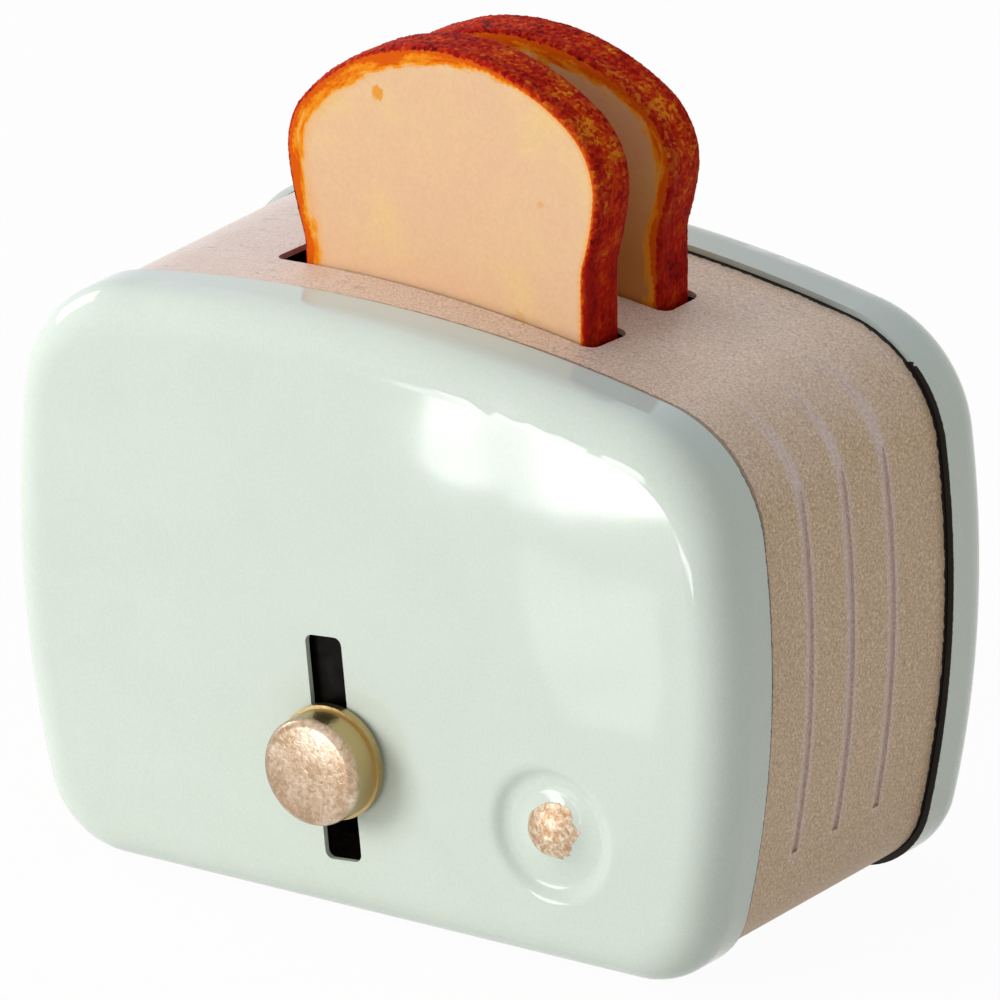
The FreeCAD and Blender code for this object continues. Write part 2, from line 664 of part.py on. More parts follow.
def make_sleeves():
    """Open sleeves under the bread slots, trimmed to the curve of the crown."""
    for word, depth, turn in slot_places():
        tube = new_body("sleeve_tube_" + word, ref("bread_slot_shift"), "%s + %s" % (FRONT, depth),
                        "%s - %s - %s" % (HEIGHT, BAND_INSIDE, ref("sleeve_height")), kept=False, turn=turn)
        walls = new_sketch(tube, "sleeve_walls_" + word, "XY_Plane")
        wall = "2 * %s" % ref("sleeve_gauge")
        add_rounded_rectangle(walls, "(%s + %s)" % (ref("bread_slot_length"), wall),
                              "(%s + %s)" % (ref("bread_slot_width"), wall),
                              "(%s + %s)" % (ref("bread_slot_corner"), ref("sleeve_gauge")), "outside")
        add_rounded_rectangle(walls, ref("bread_slot_length"), ref("bread_slot_width"),
                              ref("bread_slot_corner"), "inside")
        add_pad(tube, walls, "%s + %s" % (ref("sleeve_height"), BAND_INSIDE))
        crown = doc.addObject("Part::Cylinder", "crown_curve_" + word)
        crown.setExpression("Radius", "%s - %s" % (ref("crown_radius"), BAND_INSIDE))
        crown.setExpression("Height", DEPTH)
        crown.Placement = Placement(Vector(0, 0, 0), Rotation(Vector(1, 0, 0), -90))
        crown.setExpression("Placement.Base.x", ref("crown_shift"))
        crown.setExpression("Placement.Base.y", FRONT)
        crown.setExpression("Placement.Base.z", "%s - %s" % (HEIGHT, ref("crown_radius")))
        sleeve = doc.addObject("Part::Common", "slot_sleeve_" + word)
        sleeve.Base = tube
        sleeve.Tool = crown
        sleeve.Label = "slot_sleeve_" + word
        doc.recompute()
        SUBPARTS.append(sleeve)


# ---------------------------------------------------------------------------------------------
# Fixed inner pieces: mechanism frame, rods, nuts, rivets, posts and screws
# ---------------------------------------------------------------------------------------------
def make_frame():
    """Strip bent to a tall U with inward tabs; its base also laps the band's bottom seam."""
    frame = new_body("mechanism_frame", along=MIDDLE)
    gauge = ref("frame_gauge")
    half = FRAME_HALF
    inner = "(%s - %s)" % (half, gauge)
    tab = "(%s - %s)" % (half, ref("frame_tab"))
    under_tab = "(%s - %s)" % (FRAME_TOP, gauge)
    profile = new_sketch(frame, "frame_profile", "XZ_Plane")
    right_side = [(half, BAND_INSIDE), (half, FRAME_TOP), (tab, FRAME_TOP), (tab, under_tab),
                  (inner, under_tab), (inner, FRAME_INSIDE)]
    left_side = [("-" + across, up) for across, up in reversed(right_side)]
    add_polygon(profile, right_side + left_side, "frame")
    bent = add_pad(frame, profile, ref("frame_width"), both_ways=True)
    for level_x, level_z, radius, word in (
            (half, BAND_INSIDE, ref("frame_bend_radius"), "toe"),
            (half, FRAME_TOP, ref("frame_bend_radius"), "top"),
            (inner, FRAME_INSIDE, "%s - %s" % (ref("frame_bend_radius"), gauge), "inner_toe"),
            (inner, under_tab, "%s - %s" % (ref("frame_bend_radius"), gauge), "inner_top")):
        names = []
        for index, edge in enumerate(bent.Shape.Edges, start=1):
            spot = edge.CenterOfMass
            along_y = edge.BoundBox.YLength > number(ref("frame_width")) - TOUCH
            at_corner = max(abs(abs(spot.x) - number(level_x)), abs(spot.z - number(level_z))) < TOUCH
            if along_y and at_corner:
                names.append("Edge%d" % index)
        bent = add_fillet(frame, bent, names, radius)
    holes = new_sketch(frame, "rod_holes", "XY_Plane")
    for word, sign in (("left", "-"), ("right", "")):
        add_circle(holes, sign + ROD_X, "0", ref("rod_diameter"), word)
    for name, across, along in seam_rivet_places():
        add_circle(holes, across, along, ref("rivet_diameter"), name)
    add_cut(frame, holes, FRAME_TOP, backwards=True)


def make_rods():
    """Two upright rods; each stands in the frame's base and passes its top tab."""
    for word, sign in (("left", "-"), ("right", "")):
        rod = new_body("guide_rod_" + word, sign + ROD_X, MIDDLE, BAND_INSIDE)
        section = new_sketch(rod, "rod_section_" + word, "XY_Plane")
        add_circle(section, "0", "0", ref("rod_diameter"), "rod")
        above_tab = "%s + %s" % (ref("nut_thick"), ref("rod_end"))
        add_pad(rod, section, "%s - %s + %s" % (FRAME_TOP, BAND_INSIDE, above_tab))


def make_nuts():
    """Two hexagon nuts on top of the frame's tabs."""
    nuts = new_body("rod_nuts", along=MIDDLE, height=FRAME_TOP)
    across_corners = number(ref("nut_across")) / math.cos(math.pi / 6)
    section = new_sketch(nuts, "nut_section", "XY_Plane")
    for word, sign in (("left", "-"), ("right", "")):
        centre = sign + ROD_X
        middle = number(centre)
        points = []
        for i in range(6):
            angle = i * math.pi / 3
            points.append((middle + across_corners / 2 * math.cos(angle),
                           across_corners / 2 * math.sin(angle)))
        lines = [add_line(section, points[i], points[(i + 1) % 6]) for i in range(6)]
        bore = add_circle(section, centre, "0", ref("rod_diameter"), "bore_" + word)
        rim = Part.Circle(Vector(middle, 0, 0), Vector(0, 0, 1), across_corners / 2)
        ring = section.addGeometry(rim, True)
        tie(section, "Coincident", ring, CENTRE, bore, CENTRE)
        for i, line in enumerate(lines):
            tie(section, "Coincident", line, END, lines[(i + 1) % 6], START)
            tie(section, "PointOnObject", line, START, ring)
        for line in lines[1:]:
            tie(section, "Equal", lines[0], line)
        tie(section, "Horizontal", lines[1])
        hold(section, "Diameter", (ring,), "%s / cos(30)" % ref("nut_across"), "corners_" + word)
    add_pad(nuts, section, ref("nut_thick"))


def add_rivets(body, places, heads_from, shank_length):
    """Rivets through a joint: shank, lower head and upper head at each place."""
    head = ref("rivet_head_thick")
    for word, level, length, diameter in (
            ("low_heads", "%s - %s" % (heads_from, head), head, ref("rivet_head_diameter")),
            ("shanks", heads_from, shank_length, ref("rivet_diameter")),
            ("high_heads", "%s + %s" % (heads_from, shank_length), head, ref("rivet_head_diameter"))):
        section = new_sketch(body, body.Label + "_" + word, "XY_Plane", offset=level)
        for name, across, along in places:
            add_circle(section, across, along, diameter, name)
        add_pad(body, section, length)


def make_seam_rivets():
    """Four rivets that close the band's seam on the frame's base."""
    rivets = new_body("seam_rivets", along=MIDDLE)
    add_rivets(rivets, seam_rivet_places(), BAND_OUTSIDE, "%s + %s" % (GAUGE, ref("frame_gauge")))


def make_posts():
    """Four round posts from the front shell to the rear one, tapped at their rear ends."""
    for name, across, up in post_places():
        post = new_body("tie_post_" + name, across, "%s + %s" % (FRONT, GAUGE), up)
        length = "%s - 2 * %s" % (DEPTH, GAUGE)
        section = new_sketch(post, "post_section_" + name, "XZ_Plane")
        add_circle(section, "0", "0", ref("post_diameter"), "post")
        add_pad(post, section, length, backwards=True)
        thread = new_sketch(post, "post_thread_" + name, "XZ_Plane", offset="-(%s)" % length)
        add_circle(thread, "0", "0", ref("screw_diameter"), "thread")
        add_cut(post, thread, ref("post_thread_deep"), backwards=True)


def make_screws():
    """Four slotted screws that hold the rear shell on the posts."""
    screws = new_body("rear_screws", along=REAR)
    heads = new_sketch(screws, "screw_heads", "XZ_Plane")
    shanks = new_sketch(screws, "screw_shanks", "XZ_Plane")
    for name, across, up in post_places():
        add_circle(heads, across, up, ref("screw_head_diameter"), name)
        add_circle(shanks, across, up, ref("screw_diameter"), name)
    add_pad(screws, heads, ref("screw_head_thick"), backwards=True)
    add_pad(screws, shanks, ref("screw_length"))
    slots = new_sketch(screws, "screw_slots", "XZ_Plane", offset="-" + ref("screw_head_thick"))
    half_length = "%s / 2" % ref("screw_head_diameter")
    half_width = "%s / 2" % ref("screw_slot_width")
    for name, across, up in post_places():
        corners = [("%s %s %s" % (across, x_sign, half_length), "%s %s %s" % (up, z_sign, half_width))
                   for x_sign, z_sign in (("-", "-"), ("+", "-"), ("+", "+"), ("-", "+"))]
        add_polygon(slots, corners, name)
    add_cut(screws, slots, ref("screw_slot_deep"), backwards=True)


# ---------------------------------------------------------------------------------------------
# Lift: carriage, bushes, arm, stem, washer and knob
# ---------------------------------------------------------------------------------------------
def arm_rivet_places():
    """Two rivets that hold the arm under the shelf, between the two slices."""
    half = "%s / 2" % ref("arm_rivet_spacing")
    return [("one", "%s - %s" % (LEVER_X, half), "0"), ("two", "%s + %s" % (LEVER_X, half), "0")]


SHELF_FRONT = "(%s / 2 - %s / 2)" % (DEPTH, ref("shelf_width"))


def make_carriage():
    """Stamped shelf with two upturned lips; bushes sit in its two end holes."""
    carriage = new_body("lift_carriage", along=MIDDLE, height=SHELF_UNDER)
    plate = new_sketch(carriage, "shelf_plate", "XY_Plane")
    add_rounded_rectangle(plate, SHELF_LENGTH, ref("shelf_width"), ref("shelf_corner"), "shelf")
    add_pad(carriage, plate, ref("shelf_gauge"))
    lips = new_sketch(carriage, "shelf_lips", "XY_Plane", offset=ref("shelf_gauge"))
    half = "%s / 2" % ref("shelf_lip_length")
    for word, sign in (("front", "-"), ("rear", "")):
        outer = "%s%s / 2" % (sign, ref("shelf_width"))
        inner = "%s(%s / 2 - %s)" % (sign, ref("shelf_width"), ref("shelf_gauge"))
        add_polygon(lips, [("-" + half, outer), (half, outer), (half, inner), ("-" + half, inner)], word)
    add_pad(carriage, lips, ref("shelf_lip_height"))
    holes = new_sketch(carriage, "bush_holes", "XY_Plane")
    for word, sign in (("left", "-"), ("right", "")):
        add_circle(holes, sign + ROD_X, "0", ref("bush_diameter"), word)
    for name, across, along in arm_rivet_places():
        add_circle(holes, across, "%s - %s / 2" % (SLOTS_MIDDLE, DEPTH), ref("rivet_diameter"), name)
    add_cut(carriage, holes, ref("shelf_gauge"), backwards=True)


def make_bushes():
    """Two flanged bushes, flange above the shelf, that run on the rods."""
    for word, sign in (("left", "-"), ("right", "")):
        bush = new_body("carriage_bush_" + word, sign + ROD_X, MIDDLE, SHELF_TOP)
        bore = "%s + 2 * %s" % (ref("rod_diameter"), ref("bush_running_gap"))
        flange = new_sketch(bush, "bush_flange_" + word, "XY_Plane")
        add_circle(flange, "0", "0", ref("bush_flange_diameter"), "flange")
        add_circle(flange, "0", "0", bore, "bore")
        add_pad(bush, flange, ref("bush_flange_thick"))
        barrel = new_sketch(bush, "bush_barrel_" + word, "XY_Plane")
        add_circle(barrel, "0", "0", ref("bush_diameter"), "barrel")
        add_circle(barrel, "0", "0", bore, "bore")
        add_pad(bush, barrel, "%s - %s" % (ref("bush_length"), ref("bush_flange_thick")), backwards=True)


def make_arm():
    """Strip bent to an L: upright behind the front shell, then back under the shelf."""
    arm = new_body("lever_arm", LEVER_X, FRONT)
    top = SHELF_UNDER
    under = "(%s - %s)" % (top, ref("arm_gauge"))
    foot = "(%s - %s)" % (LEVER_Z, ref("arm_below_stem"))
    back = "(%s + %s)" % (SHELF_FRONT, ref("arm_overlap"))
    profile = new_sketch(arm, "arm_profile", "YZ_Plane")
    add_polygon(profile, [(ARM_FRONT, foot), (ARM_BACK, foot), (ARM_BACK, under), (back, under),
                          (back, top), (ARM_FRONT, top)], "arm")
    bent = add_pad(arm, profile, ref("arm_width"), both_ways=True)
    for depth, level, radius in ((ARM_FRONT, top, ref("arm_bend_radius")),
                                 (ARM_BACK, under, "%s - %s" % (ref("arm_bend_radius"), ref("arm_gauge")))):
        names = []
        for index, edge in enumerate(bent.Shape.Edges, start=1):
            spot = edge.CenterOfMass
            along_x = edge.BoundBox.XLength > number(ref("arm_width")) - TOUCH
            at_corner = max(abs(spot.y - number(depth)), abs(spot.z - number(level))) < TOUCH
            if along_x and at_corner:
                names.append("Edge%d" % index)
        bent = add_fillet(arm, bent, names, radius)
    stem_hole = new_sketch(arm, "stem_hole", "XZ_Plane", offset="-" + ARM_FRONT)
    add_circle(stem_hole, "0", LEVER_Z, ref("stem_diameter"), "stem")
    add_cut(arm, stem_hole, ref("arm_gauge"))
    rivet_holes = new_sketch(arm, "arm_rivet_holes", "XY_Plane", "-" + LEVER_X, SLOTS_MIDDLE, under)
    for name, across, along in arm_rivet_places():
        add_circle(rivet_holes, across, along, ref("rivet_diameter"), name)
    add_cut(arm, rivet_holes, ref("arm_gauge"), backwards=True)


def make_arm_rivets():
    """Two rivets through the arm and the shelf."""
    rivets = new_body("arm_rivets", along="%s + %s" % (FRONT, SLOTS_MIDDLE))
    add_rivets(rivets, arm_rivet_places(), "(%s - %s)" % (SHELF_UNDER, ref("arm_gauge")),
               "%s + %s" % (ref("arm_gauge"), ref("shelf_gauge")))


def make_lever_end():
    """Knob, stem and washer on one axis through the lever slot."""
    knob_back = "(%s)" % ref("knob_face_gap")
    knob = new_body("lever_knob", "%s + %s" % (LEVER_X, ref("knob_off_centre")), FRONT, LEVER_Z)
    flange = new_sketch(knob, "knob_flange", "XZ_Plane", offset=knob_back)
    add_circle(flange, "0", "0", ref("knob_flange_diameter"), "flange")
    add_pad(knob, flange, ref("knob_flange_thick"))
    barrel = new_sketch(knob, "knob_barrel", "XZ_Plane", offset=knob_back)
    add_circle(barrel, "0", "0", ref("knob_diameter"), "barrel")
    drawn = add_pad(knob, barrel, "%s - %s" % (ref("knob_reach"), ref("knob_face_gap")))
    add_fillet(knob, drawn, edges_at(drawn, 1, -number(ref("knob_reach"))), ref("knob_edge"))
    bore = new_sketch(knob, "knob_bore", "XZ_Plane", offset=knob_back)
    add_circle(bore, "-" + ref("knob_off_centre"), "0", ref("stem_diameter"), "bore")
    add_cut(knob, bore, ref("knob_bore_deep"), backwards=True)

    stem = new_body("lever_stem", LEVER_X, FRONT, LEVER_Z)
    shank = new_sketch(stem, "stem_shank", "XZ_Plane", offset="-" + ARM_BACK)
    add_circle(shank, "0", "0", ref("stem_diameter"), "shank")
    add_pad(stem, shank, "%s + %s + %s" % (ARM_BACK, ref("knob_face_gap"), ref("knob_bore_deep")))
    head = new_sketch(stem, "stem_head", "XZ_Plane", offset="-" + ARM_BACK)
    add_circle(head, "0", "0", ref("stem_head_diameter"), "head")
    add_pad(stem, head, ref("stem_head_thick"), backwards=True)

    washer = new_body("friction_washer", LEVER_X, FRONT, LEVER_Z)
    ring = new_sketch(washer, "washer_ring", "XZ_Plane", offset="-" + WASHER_FRONT)
    add_circle(ring, "0", "0", ref("washer_diameter"), "outside")
    add_circle(ring, "0", "0", ref("stem_diameter"), "inside")
    add_pad(washer, ring, ref("washer_thick"), backwards=True)


# ---------------------------------------------------------------------------------------------
# Bread slices
# ---------------------------------------------------------------------------------------------
def add_slice_outline(sketch, height):
    """Loaf slice: round top, soft shoulders, bulging cheeks and a straight lower half."""
    top_radius = number(ref("slice_top_radius"))
    side_radius = number(ref("slice_side_radius"))
    shoulder = number(ref("slice_shoulder_radius"))
    neck_half = number(SLICE_WAIST_HALF)
    neck = number(ref("slice_neck"))
    top_at = (number(ref("slice_top_shift")), number(height) - top_radius)
    right_at = (number(SLICE_HALF) - side_radius, number(ref("slice_widest")))
    left_at = mirrored(right_at)
    right_turn = between_arcs(top_at, top_radius, right_at, side_radius, shoulder, (1, 1))
    left_turn = between_arcs(top_at, top_radius, left_at, side_radius, shoulder, (-1, 1))
    right_crown = on_circle(top_at, top_radius, right_turn)
    left_crown = on_circle(top_at, top_radius, left_turn)
    right_top = on_circle(right_at, side_radius, right_turn)
    left_top = on_circle(left_at, side_radius, left_turn)
    right_low = (right_at[0] + math.sqrt(side_radius ** 2 - (neck - right_at[1]) ** 2), neck)
    left_low = mirrored(right_low)
    foot = (neck_half, 0)
    chain = [
        add_arc(sketch, top_at, top_radius, right_crown, left_crown),
        add_arc(sketch, left_turn, shoulder, left_crown, left_top),
        add_arc(sketch, left_at, side_radius, left_top, left_low),
        add_line(sketch, left_low, mirrored(foot)),
        add_line(sketch, mirrored(foot), foot),
        add_line(sketch, foot, right_low),
        add_arc(sketch, right_at, side_radius, right_low, right_top),
        add_arc(sketch, right_turn, shoulder, right_top, right_crown),
    ]
    top, left_shoulder, left_side, left_edge, bottom, right_edge, right_side, right_shoulder = chain
    for first, second in ((top, left_shoulder), (left_shoulder, left_side),
                          (right_side, right_shoulder), (right_shoulder, top)):
        tie(sketch, "Tangent", first, END, second, START)
    for first, second in ((left_side, left_edge), (left_edge, bottom),
                          (bottom, right_edge), (right_edge, right_side)):
        tie(sketch, "Coincident", first, END, second, START)
    top_up = "%s - %s" % (height, ref("slice_top_radius"))
    hold(sketch, "Radius", (top,), ref("slice_top_radius"), "top_radius")
    hold_point(sketch, top, CENTRE, ref("slice_top_shift"), top_up, "top")
    side_across = "(%s - %s)" % (SLICE_HALF, ref("slice_side_radius"))
    for word, side_arc, sign in (("left", left_side, "-"), ("right", right_side, "")):
        hold(sketch, "Radius", (side_arc,), ref("slice_side_radius"), "cheek_radius_" + word)
        hold_point(sketch, side_arc, CENTRE, sign + side_across, ref("slice_widest"), "cheek_" + word)
    for word, arc in (("left", left_shoulder), ("right", right_shoulder)):
        hold(sketch, "Radius", (arc,), ref("slice_shoulder_radius"), "shoulder_" + word)
    hold_point(sketch, bottom, START, "-" + SLICE_WAIST_HALF, "0", "left_foot")
    hold_point(sketch, bottom, END, SLICE_WAIST_HALF, "0", "right_foot")
    hold(sketch, "DistanceY", (*ORIGIN, left_edge, START), ref("slice_neck"), "left_neck")
    hold(sketch, "DistanceY", (*ORIGIN, right_edge, END), ref("slice_neck"), "right_neck")


def make_slices():
    """Two bread slices standing on the shelf, one in each slot."""
    for word, depth, turn in slot_places():
        across = "%s + %s" % (ref("bread_slot_shift"), ref("slice_shift"))
        piece = new_body("bread_slice_" + word, across, "%s + %s" % (FRONT, depth),
                         "%s + %s" % (SHELF_TOP, ref("slice_lift_gap")), turn=turn)
        outline = new_sketch(piece, "slice_outline_" + word, "XZ_Plane")
        add_slice_outline(outline, ref(word + "_slice_height"))
        crumb = add_pad(piece, outline, SLICE_THICK, both_ways=True)
        necks = edges_at(crumb, 2, number(ref("slice_neck")))
        loaf = add_fillet(piece, crumb, necks, ref("slice_neck_radius"))
        half = number(SLICE_THICK) / 2
        rims = edges_at(loaf, 1, -half) + edges_at(loaf, 1, half)
        add_fillet(piece, loaf, rims, ref("slice_crust_radius"))


# ---------------------------------------------------------------------------------------------
# Build, check and write
# ---------------------------------------------------------------------------------------------
make_front_shell()
make_rear_shell()
make_band()
make_sleeves()
make_frame()
make_rods()
make_nuts()
make_seam_rivets()
make_posts()
make_screws()
make_carriage()
make_bushes()
make_arm()
make_arm_rivets()
make_lever_end()
make_slices()
doc.recompute()

for item in doc.Objects:
    if "Invalid" in item.State or "Error" in item.State:
        raise RuntimeError("%s failed: %s" % (item.Name, item.State))
for piece in SUBPARTS:
    if piece.Shape.isNull() or not piece.Shape.isValid():
        raise RuntimeError("%s has no valid shape" % piece.Label)
    piece.Shape.exportStep("parts/%s.step" % piece.Label)
    box = piece.Shape.BoundBox
    print("%-22s %2d solid(s) %9.2f mm3  x %6.2f..%6.2f  y %6.2f..%6.2f  z %6.2f..%6.2f" % (
        piece.Label, len(piece.Shape.Solids), piece.Shape.Volume,
        box.XMin, box.XMax, box.YMin, box.YMax, box.ZMin, box.ZMax))
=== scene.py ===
# %% [markdown]
# # A toy toaster of pressed sheet metal
# Two enamelled pans close a coated band, a lever slides in a slot, and two slices of foam bread
# stand in the crown.  The metal parts come from the construction and only get their finishes here.
# The bread is soft, so it is made here in full.

# %% Load the frame
import math
import bmesh
import bpy
import numpy as np
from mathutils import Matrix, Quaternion, Vector


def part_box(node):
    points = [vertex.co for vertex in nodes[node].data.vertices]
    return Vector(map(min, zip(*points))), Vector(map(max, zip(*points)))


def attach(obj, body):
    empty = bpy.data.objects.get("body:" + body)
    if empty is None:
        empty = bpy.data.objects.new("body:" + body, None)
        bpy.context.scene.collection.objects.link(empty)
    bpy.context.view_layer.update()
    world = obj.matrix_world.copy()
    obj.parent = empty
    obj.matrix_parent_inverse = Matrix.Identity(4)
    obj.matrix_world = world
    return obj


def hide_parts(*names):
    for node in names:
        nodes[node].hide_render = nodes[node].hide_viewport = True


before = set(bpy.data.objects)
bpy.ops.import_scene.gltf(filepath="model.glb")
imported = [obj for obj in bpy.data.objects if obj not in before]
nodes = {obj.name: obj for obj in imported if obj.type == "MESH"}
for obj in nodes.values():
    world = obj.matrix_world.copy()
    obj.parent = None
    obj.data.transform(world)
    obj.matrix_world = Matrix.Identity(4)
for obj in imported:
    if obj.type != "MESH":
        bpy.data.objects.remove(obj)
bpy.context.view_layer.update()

MM = 0.001


# %% [markdown]
# ## Colours and nodes
# Colours are written as they look on a screen and turned to the linear values that light needs.
# One function adds a node to any tree, with its settings and its inputs.

# %% Helpers for colours and nodes
def paint(code):
    """Linear colour of a screen colour such as "dae4d9"."""
    parts = [int(code[i:i + 2], 16) / 255 for i in (0, 2, 4)]
    return (*[c / 12.92 if c <= 0.04045 else ((c + 0.055) / 1.055) ** 2.4 for c in parts], 1)


def add(tree, kind, inputs=None, stops=None, **settings):
    """Add a node: settings first, then each input as a value or as a socket to link."""
    made = tree.nodes.new(kind)
    for name, setting in settings.items():
        setattr(made, name, setting)
    for name, given in (inputs or {}).items():
        if isinstance(given, bpy.types.NodeSocket):
            tree.links.new(given, made.inputs[name])
        else:
            made.inputs[name].default_value = given
    if stops:
        ramp = made.color_ramp.elements
        while len(ramp) < len(stops):
            ramp.new(0.5)
        for element, (at, code) in zip(ramp, stops):
            element.position, element.color = at, paint(code)
    return made


def finish_of(name):
    """New material with its tree, its shader and the place of each point on the object, in millimetres."""
    made = bpy.data.materials.new(name)
    made.use_nodes = True
    tree = made.node_tree
    metres = add(tree, "ShaderNodeTexCoord").outputs["Object"]
    place = add(tree, "ShaderNodeVectorMath", {0: metres, "Scale": 1 / MM}, operation="SCALE").outputs[0]
    return made, tree, tree.nodes["Principled BSDF"], place


def joined(tree, skin, **sockets):
    """Link sources to the shader's sockets; an underscore stands for a space in a socket's name."""
    for name, source in sockets.items():
        tree.links.new(source, skin.inputs[name.replace("_", " ")])


FAC, LEFT, RIGHT, MIXED = 0, 6, 7, 2      # sockets of a colour mix
print("helpers ready")


# %% [markdown]
# ## Mint enamel
# Stove enamel is a thick glossy paint.  It flows before it hardens, so it is a little wavy, and the pans
# under it are not quite flat.  On top of the rim a painted shade makes the mint a little darker and cooler
# than on the face.
# The pattern could be an image, but worked out from the place of each point it needs no unwrapping.

# %% Pastel colour of the enamel
TOP_SHADE_FROM, TOP_SHADE_FULL = 36.0, 42.0        # heights between which the painted shade on top of the rim sets in


def mint_pastel(tree, place, spot, inside):
    """Soft clouds 6 mm wide and fine flecks, with a darker, cooler painted shade on top of the rim; inside
    is the way from its edge.
    """
    cloud = add(tree, "ShaderNodeTexNoise", {"Vector": place, "Scale": 1 / 6, "Detail": 3.0})
    fleck = add(tree, "ShaderNodeTexNoise", {"Vector": place, "Scale": 1 / 0.22, "Detail": 2.0})
    soft = add(tree, "ShaderNodeValToRGB", {"Fac": cloud.outputs["Fac"]},
               [(0.35, "d6e1d5"), (0.65, "dae4d9")])
    fine = add(tree, "ShaderNodeValToRGB", {"Fac": fleck.outputs["Fac"]},
               [(0.3, "d1ddd0"), (0.7, "dfe8de")])
    mint = add(tree, "ShaderNodeMix", {FAC: 0.4, LEFT: soft.outputs["Color"], RIGHT: fine.outputs["Color"]},
               data_type="RGBA")
    high = add(tree, "ShaderNodeMapRange",
               {"Value": spot["Z"], "From Min": TOP_SHADE_FROM, "From Max": TOP_SHADE_FULL, "To Max": 0.5})
    near = add(tree, "ShaderNodeMapRange", {"Value": inside, "From Min": 4.2, "From Max": 2.4})
    painted_top_shade = add(tree, "ShaderNodeMath", {0: high.outputs["Result"], 1: near.outputs["Result"]},
                 operation="MULTIPLY")
    # painted shade: a darker, cooler mint on top of the rim, towards its edge by the band
    return add(tree, "ShaderNodeMix",
               {FAC: painted_top_shade.outputs[0], LEFT: mint.outputs[MIXED], RIGHT: paint("c5d8de")},
               data_type="RGBA").outputs[MIXED]


# %% [markdown]
# At the sides the cut edge of each rim is painted near black as the shade of the seam gap, with a ragged,
# chipped border.  The edge could be a piece of its own, but it is only a line of painted shade, so the
# enamel itself turns dark there.

# %% Enamel with its cut edge
FRONT_RIM = -10.05       # rear edge of the front pan's rim, along the depth
REAR_RIM = 12.75         # front edge of the rear pan's rim
CLEAN_FROM, DARK_TO = 40.0, 38.0         # heights between which the dark of the cut edge sets in, downwards
CHIP = 0.16              # widest dark line at the cut edge
GLOSS, BARE = 0.07, 0.7  # roughness of the enamel and of the bare edge


def enamel(name, rim, inward):
    """Gloss enamel whose cut edge is painted dark as the seam's shade; inward is the side of the rim's edge
    where the pan lies.
    """
    # stove enamel: clear sharp reflections over an even pastel, soft waves about 7 mm wide
    made, tree, skin, place = finish_of(name)
    spot = add(tree, "ShaderNodeSeparateXYZ", {"Vector": place}).outputs
    inside = add(tree, "ShaderNodeMath", {0: spot["Y"], 1: inward, 2: -inward * rim},
                 operation="MULTIPLY_ADD").outputs[0]
    chips = add(tree, "ShaderNodeTexNoise", {"Vector": place, "Scale": 1 / 0.35, "Detail": 2.0})
    deep = add(tree, "ShaderNodeMapRange",
               {"Value": spot["Z"], "From Min": CLEAN_FROM, "From Max": DARK_TO, "To Max": CHIP})
    reach = add(tree, "ShaderNodeMath", {0: chips.outputs["Fac"], 1: -CHIP, 2: deep.outputs["Result"]},
                operation="MULTIPLY_ADD")
    painted_seam_shade = add(tree, "ShaderNodeMath", {0: inside, 1: reach.outputs[0]}, operation="LESS_THAN").outputs[0]
    # painted shade: the cut edge turns near black as the shade of the seam gap, with a ragged border
    painted = add(tree, "ShaderNodeMix",
                  {FAC: painted_seam_shade, LEFT: mint_pastel(tree, place, spot, inside), RIGHT: paint("1b140c")},
                  data_type="RGBA").outputs[MIXED]

    peel = add(tree, "ShaderNodeTexNoise", {"Vector": place, "Scale": 1 / 7, "Detail": 1.0})
    waves = add(tree, "ShaderNodeBump",
                {"Height": peel.outputs["Fac"], "Strength": 1.0, "Distance": 0.03 * MM}).outputs["Normal"]
    rough = add(tree, "ShaderNodeMapRange", {"Value": painted_seam_shade, "To Min": GLOSS, "To Max": BARE})
    joined(tree, skin, Base_Color=painted, Normal=waves, Roughness=rough.outputs["Result"])
    skin.inputs["IOR"].default_value = 1.5
    return made, tree, skin, place, painted, waves


rear_enamel = enamel("mint_enamel", REAR_RIM, 1)[0]
front_enamel, tree, skin, place, mint, waves = enamel("mint_enamel_with_dab", FRONT_RIM, -1)
print("enamel ready")

# %% [markdown]
# ## Gold dab
# The small dome in the front pan's corner has a dab of gold paint put on by brush.  It could be a
# thin piece on the dome, but paint has no thickness to see, so a mask lays it on the front enamel:
# first a round share that is torn towards the right, then flakes that catch the light.

# %% Shape of the dab
DAB = (15.94, 10.52)     # middle of the dab, across and up
DAB_WIDE, DAB_HIGH = 2.15, 1.9

shift = add(tree, "ShaderNodeVectorMath", {0: place, 1: (DAB[0], 0, DAB[1])}, operation="SUBTRACT")
lean = add(tree, "ShaderNodeVectorMath", {0: shift.outputs[0], 1: (1 / DAB_WIDE, 0, 1 / DAB_HIGH)},
           operation="MULTIPLY")
reach = add(tree, "ShaderNodeVectorMath", {0: lean.outputs[0]}, operation="LENGTH")
side = add(tree, "ShaderNodeSeparateXYZ", {"Vector": lean.outputs[0]}).outputs["X"]
torn = add(tree, "ShaderNodeTexNoise", {"Vector": place, "Scale": 1 / 1.3, "Detail": 3.0, "Roughness": 0.55})
tear = add(tree, "ShaderNodeMapRange",
           {"Value": side, "From Min": -0.6, "From Max": 0.8, "To Min": 0.15, "To Max": 1.1})
sway = add(tree, "ShaderNodeMath", {0: torn.outputs["Fac"], 1: -0.5}, operation="ADD")
push = add(tree, "ShaderNodeMath",
           {0: sway.outputs[0], 1: tear.outputs["Result"], 2: reach.outputs["Value"]},
           operation="MULTIPLY_ADD")
dab = add(tree, "ShaderNodeMapRange",
          {"Value": push.outputs[0], "From Min": 1.02, "From Max": 0.98}).outputs["Result"]
print("dab", 2 * DAB_WIDE, "x", 2 * DAB_HIGH, "mm")

# %% Gold of the dab
SATIN = 0.4              # roughness of the gold paint

